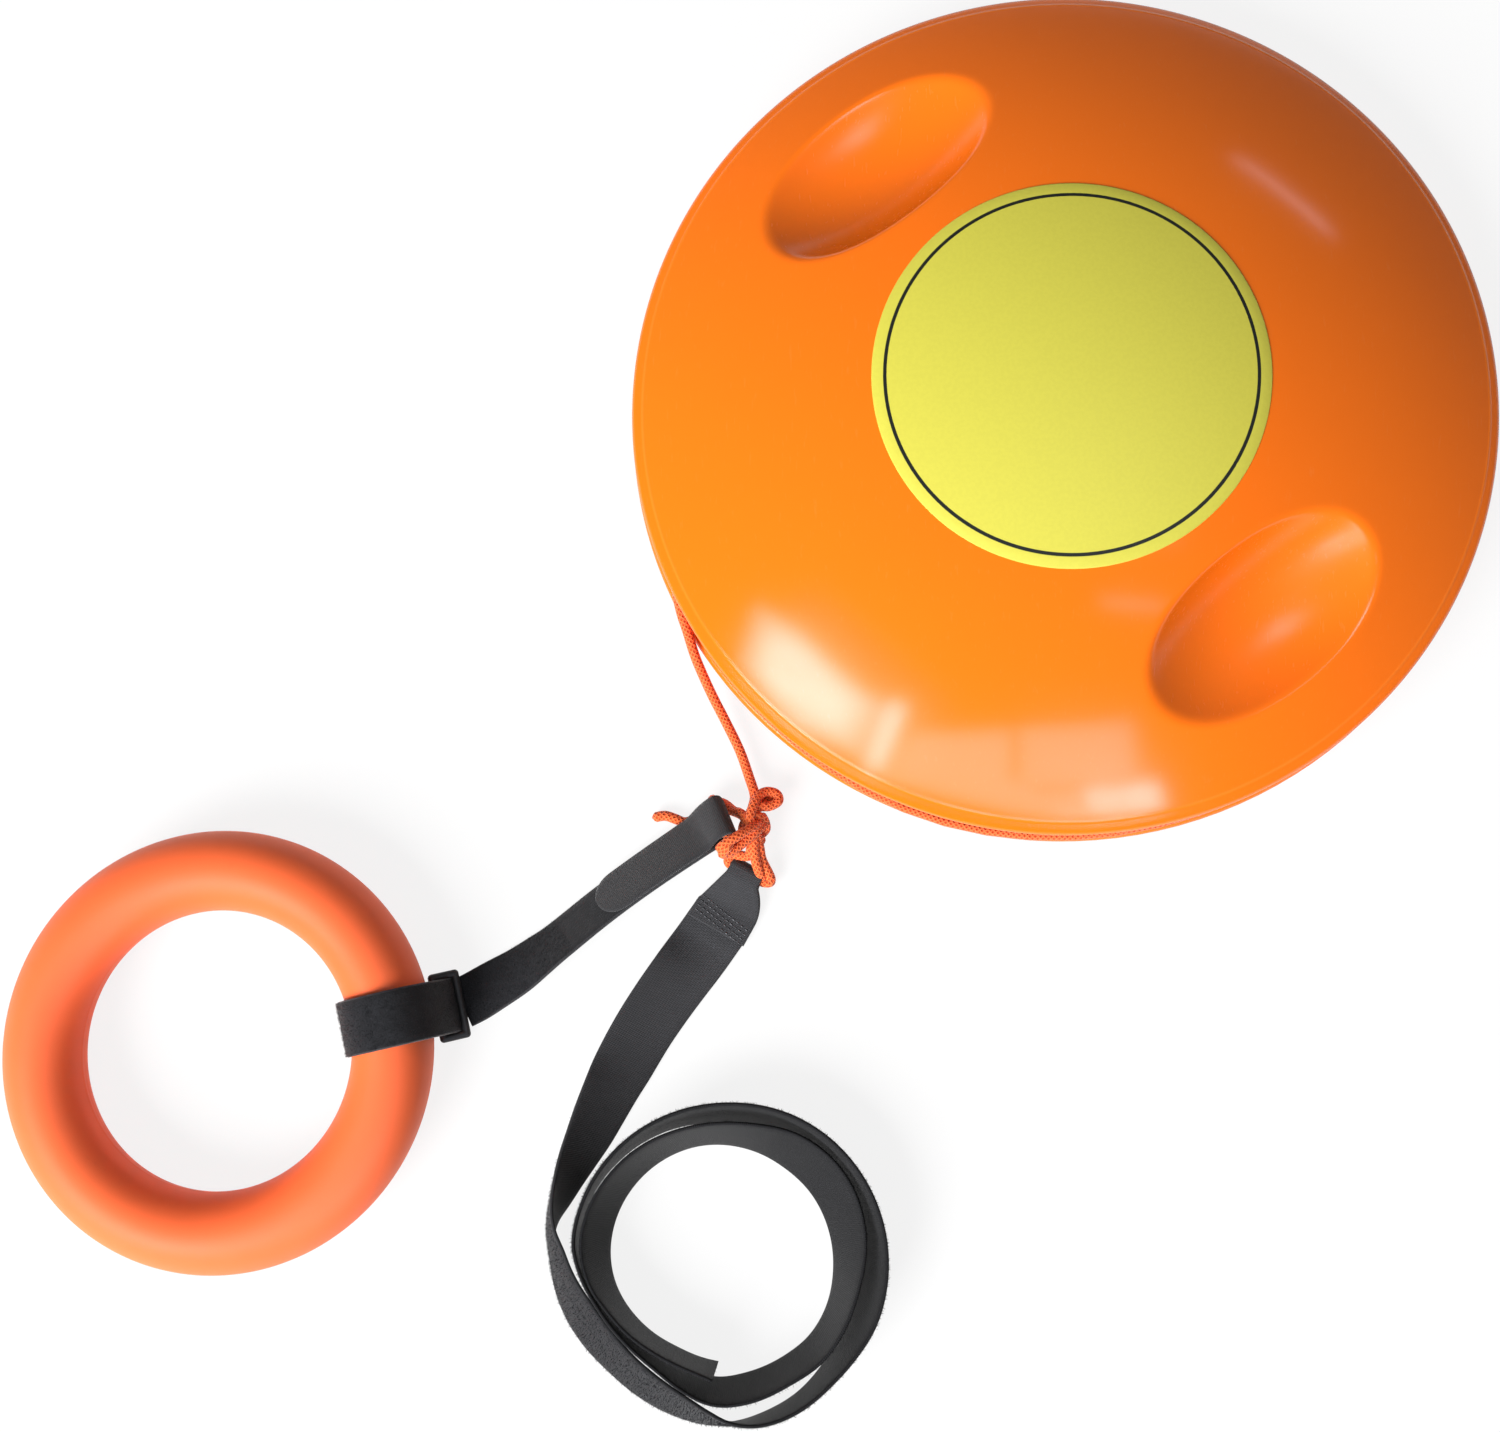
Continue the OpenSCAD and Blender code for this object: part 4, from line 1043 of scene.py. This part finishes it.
class RESCUE_OT_cover(bpy.types.Operator):
    """Makes the domed cover with its beaded rim and rounded grip recesses"""

    bl_idname = "rescue_disc.cover"
    bl_label = "Domed cover"

    def sunk(self, points, blend):
        """Presses the two grip recesses into points on the dome."""
        points = points.copy()
        for azimuth in (GRIP_AZ, GRIP_AZ + 180):
            a = math.radians(azimuth)
            out, across = np.array([math.cos(a), math.sin(a), 0]), np.array([-math.sin(a), math.cos(a), 0])
            down = math.cos(GRIP_SLOPE) * out - math.sin(GRIP_SLOPE) * UP
            normal = math.sin(GRIP_SLOPE) * out + math.cos(GRIP_SLOPE) * UP
            rel = points - (GRIP_R * out + [0, 0, GRIP_Z])
            s, y, h = rel @ down, rel @ across, rel @ normal
            inside = (np.abs(s) < GRIP_TUBE - 0.01) & (h > -60)
            ring = GRIP_SWEEP + np.sqrt(np.where(inside, GRIP_TUBE**2 - s**2, 0))
            inside &= np.abs(y) < ring
            floor = GRIP_SWEEP + GRIP_TUBE - GRIP_DEPTH - np.sqrt(np.where(inside, ring**2 - y**2, 0))
            gap = h - floor
            soft = np.maximum(blend - np.abs(gap), 0) / blend
            lower = np.where(gap > 0, gap, 0) + soft**2 * blend / 4
            points -= np.where(inside, lower, 0)[:, None] * normal
        return points

    def execute(self, context):
        looks = context.scene.rescue_disc
        around, blend = 576, looks.grip_blend / MM
        edge = RIM_R * DOME_R / (DOME_R - BEAD_R)
        far = np.concatenate([np.linspace(0, COARSE_R, 9)[1:], np.linspace(COARSE_R, edge, 112)[1:]])
        lean = np.arcsin(far / DOME_R)
        outer = turned(DOME_R * np.sin(lean), DOME_Z + DOME_R * np.cos(lean), around)
        outer = self.sunk(outer, blend)
        top = math.degrees(math.asin(RIM_R / (DOME_R - BEAD_R)))
        bead = np.radians(np.linspace(90 - top, BEAD_END, 20)[1:])
        rim = turned(RIM_R + BEAD_R * np.cos(bead), RIM_Z + BEAD_R * np.sin(bead), around)
        inside_r = DOME_R - WALL
        inner_lean = np.linspace(math.asin(INNER_EDGE_R / inside_r), 0, 16)[:-1]
        inner = turned(inside_r * np.sin(inner_lean), DOME_Z + inside_r * np.cos(inner_lean), around)
        inner = self.sunk(inner + WALL * UP, blend) - WALL * UP
        verts = np.vstack([outer, rim, inner, [(DOME_Z + DOME_R) * UP, (DOME_Z + inside_r) * UP]])
        faces = turned_faces(len(lean) + len(bead) + len(inner_lean), around)
        finish = moulded_plastic("shell_plastic", looks.shell, looks.gloss, RIM_LINE_R * MM)
        cover = piece("cover_dome", verts, faces, [finish])
        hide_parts("top_shell")
        carried("disc", "shell_orange", cover)
        dress("bottom_shell", finish)
        dress("seal_ring", seal_rubber("seal_rubber"))
        dress("shell_screws", screw_steel("screw_steel"))
        return {"FINISHED"}


class RESCUE_OT_label(bpy.types.Operator):
    """Lays the label's film on the crown"""

    bl_idname = "rescue_disc.label"
    bl_label = "Label"

    def execute(self, context):
        looks = context.scene.rescue_disc
        around, crown = 160, DOME_Z + DOME_R
        profile = [(LABEL_R * k / 16, FILM) for k in range(1, 16)]
        profile += [(LABEL_R + out, lift) for out, lift in LABEL_EDGE]
        radii, lifts = np.array(profile).T
        rings = turned(radii, DOME_Z + np.sqrt(DOME_R**2 - radii**2) + lifts, around)
        verts = np.vstack([rings, [(crown + FILM) * UP, (crown - FILM_SINK) * UP]])
        faces = turned_faces(len(profile), around)
        film = piece("label_film", verts, faces, [label_film("label_film", looks, LABEL_R * MM)])
        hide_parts("label")
        carried("disc", "label_yellow", film)
        return {"FINISHED"}


class RESCUE_OT_hand_ring(bpy.types.Operator):
    """Moulds the rubber hand ring"""

    bl_idname = "rescue_disc.hand_ring"
    bl_label = "Hand ring"

    def execute(self, context):
        looks = context.scene.rescue_ring
        around, section = 192, 64
        a = (np.arange(around) * 2 * np.pi / around)[:, None]
        b = (np.arange(section) * 2 * np.pi / section)[None, :]
        r = looks.section / 2 / MM
        far = looks.major / MM + r * np.cos(b)
        x, y, z = far * np.cos(a), far * np.sin(a), np.broadcast_to(r * np.sin(b), (around, section))
        x, z = x * math.cos(RING_TILT) - z * math.sin(RING_TILT), x * math.sin(RING_TILT) + z * math.cos(RING_TILT)
        x, y = x * math.cos(RING_AZ) - y * math.sin(RING_AZ), x * math.sin(RING_AZ) + y * math.cos(RING_AZ)
        verts = np.stack([x, y, z], axis=-1).reshape(-1, 3) + RING_CENTRE
        faces = [f[::-1] for f in grid_faces(around, section, True)[0]]
        ring = piece("hand_ring_body", verts, faces, [ring_rubber("ring_rubber", looks, RING_CENTRE * MM)])
        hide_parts("hand_ring")
        carried("ring", "ring_orange", ring)
        return {"FINISHED"}


class RESCUE_OT_ring_strap(bpy.types.Operator):
    """Makes the ring's strap: its loop round the ring, its run to the line, its fold and its tab, and the buckle"""

    bl_idname = "rescue_disc.ring_strap"
    bl_label = "Ring strap"

    def execute(self, context):
        looks = context.scene.rescue_straps
        width, thick = looks.ring_width / MM, looks.thick / MM
        woven = woven_tape("tape_woven", looks.woven, sheen=0.25, rough=0.52)
        napped = napped_tape("tape_nap", looks.nap)
        fibre = fibre_tone("tape_fibre", looks.nap)
        steps = 12
        points, sides = ribbon(smooth(STRAP_ROWS, steps), width, thick)
        angles = np.radians(np.linspace(FOLD_START, 90, 23))
        arc = FOLD + FOLD_R * (np.cos(angles)[:, None] * FOLD_RUN + np.sin(angles)[:, None] * FOLD_UP)
        back = np.arange(len(points) - 1 - steps // 4, TAB_ROW * steps + 4, -1)
        ups = unit(np.cross(runs(points), sides))
        close = np.clip((len(points) - 1 - back) / (TAB_CLOSE * steps), 0, 1)
        gap = 2 * FOLD_R + (thick + TAB_GAP - 2 * FOLD_R) * close**2 * (3 - 2 * close)
        tab, tab_sides = points[back] + gap[:, None] * ups[back], sides[back]
        ends = tab[-1] + np.sin(TAB_TIP)[:, None] * width / 2 * runs(tab)[-1]
        line = np.vstack([points, arc, tab, ends])
        fold_sides, end_sides = np.tile(FOLD_SIDE, (len(arc), 1)), np.tile(tab_sides[-1], (len(ends), 1))
        all_sides = np.vstack([sides, fold_sides, tab_sides, end_sides])
        widths = np.concatenate([np.full(len(line) - len(ends), width), width * np.cos(TAB_TIP)])
        # the lower layer's edge is drawn in under the fold
        at = travelled(points)
        drawn = np.concatenate([
            1 - (at[-1] - at) / DRAWN_RUN, 1 - (np.degrees(angles) - FOLD_START) / DRAWN_ARC,
            np.zeros(len(tab) + len(ends))])
        drawn = np.clip(drawn, 0, 1)
        drawn = DRAWN_IN * drawn**2 * (3 - 2 * drawn)
        line = line - drawn[:, None] / 2 * all_sides
        finishes = [napped, woven, woven]
        band = tape("ring_strap_band", strap(line, all_sides, widths - drawn, thick), finishes)
        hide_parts("ring_strap", "ring_strap_tab")
        open_end = TAB_ROW * steps - int(steps * NAP_SHORT)
        face = upper_face(points[:open_end], sides[:open_end], np.full(open_end, width), thick)
        tuft = nap("ring_strap_nap", face, looks, fibre)
        carried("ring_strap", "strap_black", band, tuft)

        width *= LOOP_WIDER
        far, near = LOOP_IN + thick / 2, BAR_R + BAR_PLAY + thick / 2
        way = math.atan2(REAR_BAR[1], REAR_BAR[0])
        lean = math.acos((far - near) / np.linalg.norm(REAR_BAR))
        big = np.linspace(way + lean, way - lean + 2 * math.pi, 72)
        small = np.linspace(way - lean, way + lean, 18)
        hull = [far * np.array([math.cos(t), math.sin(t)]) for t in big]
        hull += [REAR_BAR + near * np.array([math.cos(t), math.sin(t)]) for t in small]
        hull = evenly(np.array([*hull, hull[0]]), 1.0)[:-1]
        run = np.array([math.cos(LOOP_AZ), math.sin(LOOP_AZ), 0])
        side = np.array([-math.sin(LOOP_AZ), math.cos(LOOP_AZ), 0])
        made = {}
        for name, rows, closed in (("ring_loop", hull, True), ("ring_loop_tongue", smooth(TONGUE, 6), False)):
            path = np.array([*LOOP_XY, LOOP_Z]) + rows[:, :1] * run + rows[:, 1:] * UP
            shape = path, np.tile(-side, (len(path), 1)), np.full(len(path), width), thick, closed
            band = tape(name + "_band" if closed else name, strap(*shape), finishes)
            tuft = nap(name + "_nap", upper_face(*shape), looks, fibre)
            carried("ring_loop", "strap_black", band, tuft)
            made[name] = path, band, tuft
        loop, ring, tuft = made["ring_loop"]
        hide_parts("ring_strap_loop")
        dress("buckle", satin_plastic("buckle_plastic", looks.plastic))
        return {"FINISHED"}


class RESCUE_OT_long_strap(bpy.types.Operator):
    """Makes the long strap: its sewn eye, its twisting lead, its coil, its stitches and its nap"""

    bl_idname = "rescue_disc.long_strap"
    bl_label = "Long strap"

    def execute(self, context):
        looks = context.scene.rescue_straps
        width, thick = looks.long_width / MM, looks.thick / MM
        gap = thick + EYE_GAP
        rise = 2 * FOLD_R - gap
        eye = EYE_END + EYE_LEN * EYE_RUN + (thick / 2 + FOLD_R) * UP
        upper = [EYE_END + s * EYE_RUN + (thick / 2 + gap + rise * h) * UP for s, h in EYE_UPPER]
        arc = [eye + FOLD_R * (math.cos(t) * EYE_RUN + math.sin(t) * UP) for t in np.radians(np.arange(90, -91, -15))]
        lower = [EYE_END + s * EYE_RUN + thick / 2 * UP for s in EYE_LOWER]
        folded = smooth(np.array([*upper, *arc, *lower]), 4)
        coil = np.array([[*(COIL_XY + polar(r, a)), roll] for a, r, roll in smooth(COIL_ROWS, 10)])
        lead = smooth([[EYE_END[0], EYE_END[1], 0], *LEAD_ROWS, coil[0]], 10)
        path = evenly(np.vstack([lead, coil[1:]]), 1.5)
        for _ in range(6):
            path[1:-1] = (path[:-2] + 2 * path[1:-1] + path[2:]) / 4
        points, sides = ribbon(path, width, thick)
        line = np.vstack([folded, points])
        all_sides = np.vstack([np.tile(-EYE_SIDE, (len(folded), 1)), -sides])
        reach = np.clip(((folded - EYE_END) @ EYE_RUN) / (EYE_LEN - 3), 0, 1)
        edges = zip((EYE_LEFT, EYE_RIGHT), EYE_POWERS)
        near, far = (width / 2 + (half - width / 2) * reach**power for half, power in edges)
        line[: len(folded)] += ((far - near) / 2)[:, None] * EYE_SIDE
        widths = np.concatenate([near + far, np.full(len(points), width)])
        cupped = np.linalg.norm(line[:, :2] - CUPPED, axis=1)
        at = travelled(line)
        bow = CUP_BOW * np.exp(-((cupped / CUP_REACH) ** 2)) * (at < at[-1] * CUP_SHARE)
        verts, faces, uvs, slots = strap(line, all_sides, widths, thick, bow=bow)
        # painted light on the lead near the eye, and painted shade in the coil
        woven = woven_tape("long_woven", looks.woven, sheen=0.04, rough=0.42, painted_shading=(1.55, 0.4))
        napped = napped_tape("long_nap", looks.nap)
        # the folded eye shows its woven face on both sides
        folded_faces = slice(0, len(folded) * 2 * (ACROSS + len(ROUND_OVER)))
        slots = np.array(slots)
        slots[folded_faces][slots[folded_faces] == 0] = 1
        band = tape("long_strap_band", (verts, faces, uvs, slots), [napped, woven, woven])
        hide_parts("long_strap")
        fibre = fibre_tone("long_fibre", looks.nap)
        first = int(len(lead) * NAP_FROM)
        full = np.full(len(points) - first, width)
        face = upper_face(points[first:], -sides[first:], full, thick, bow=bow[len(folded) + first :])
        tuft = nap("long_strap_nap", face, looks, fibre, density=0.75, size=1.2)
        sewn = math.cos(SEAM_SLANT) * EYE_SIDE - math.sin(SEAM_SLANT) * EYE_RUN
        start = EYE_END + (thick + gap + SEAM_LIFT) * UP
        places = range(-SEAM_HALF, SEAM_HALF + 1)
        rows = [start + s * EYE_RUN + k * SEAM_STEP * sewn for s in SEAM_ROWS for k in places]
        thread = fibre_tone("sewing_thread", looks.thread)
        seam = stitches("long_strap_stitches", rows, [sewn] * len(rows), looks, thread)
        carried("long_strap", "strap_black", band, tuft, seam)
        return {"FINISHED"}


class RESCUE_PT_panel(bpy.types.Panel):
    """Lists the pieces of the rescue disc"""

    bl_idname = "RESCUE_PT_panel"
    bl_label = "Rescue disc"
    bl_space_type = "VIEW_3D"
    bl_region_type = "UI"
    bl_category = "Rescue disc"

    def draw(self, context):
        for group in GROUPS:
            box = self.layout.box()
            for key in getattr(context.scene, group).bl_rna.properties.keys():
                if key not in ("rna_type", "name"):
                    box.prop(getattr(context.scene, group), key)
        for operator in OPERATORS:
            self.layout.operator(operator.bl_idname)


GROUPS = {
    "rescue_disc": DiscLooks,
    "rescue_line": LineLooks,
    "rescue_straps": StrapLooks,
    "rescue_ring": RingLooks,
    "rescue_stage": StageLooks,
}
OPERATORS = [
    RESCUE_OT_stage, RESCUE_OT_line, RESCUE_OT_cover, RESCUE_OT_label,
    RESCUE_OT_hand_ring, RESCUE_OT_ring_strap, RESCUE_OT_long_strap,
]


def register():
    for name, group in GROUPS.items():
        bpy.utils.register_class(group)
        setattr(bpy.types.Scene, name, PointerProperty(type=group))
    for made in [*OPERATORS, RESCUE_PT_panel]:
        bpy.utils.register_class(made)


def unregister():
    for made in [RESCUE_PT_panel, *reversed(OPERATORS)]:
        bpy.utils.unregister_class(made)
    for name, group in reversed(GROUPS.items()):
        delattr(bpy.types.Scene, name)
        bpy.utils.unregister_class(group)


def main():
    register()
    bpy.ops.rescue_disc.stage()
    bpy.ops.rescue_disc.line()
    bpy.ops.rescue_disc.cover()
    bpy.ops.rescue_disc.label()
    bpy.ops.rescue_disc.hand_ring()
    bpy.ops.rescue_disc.ring_strap()
    bpy.ops.rescue_disc.long_strap()


if __name__ == "__main__":
    main()
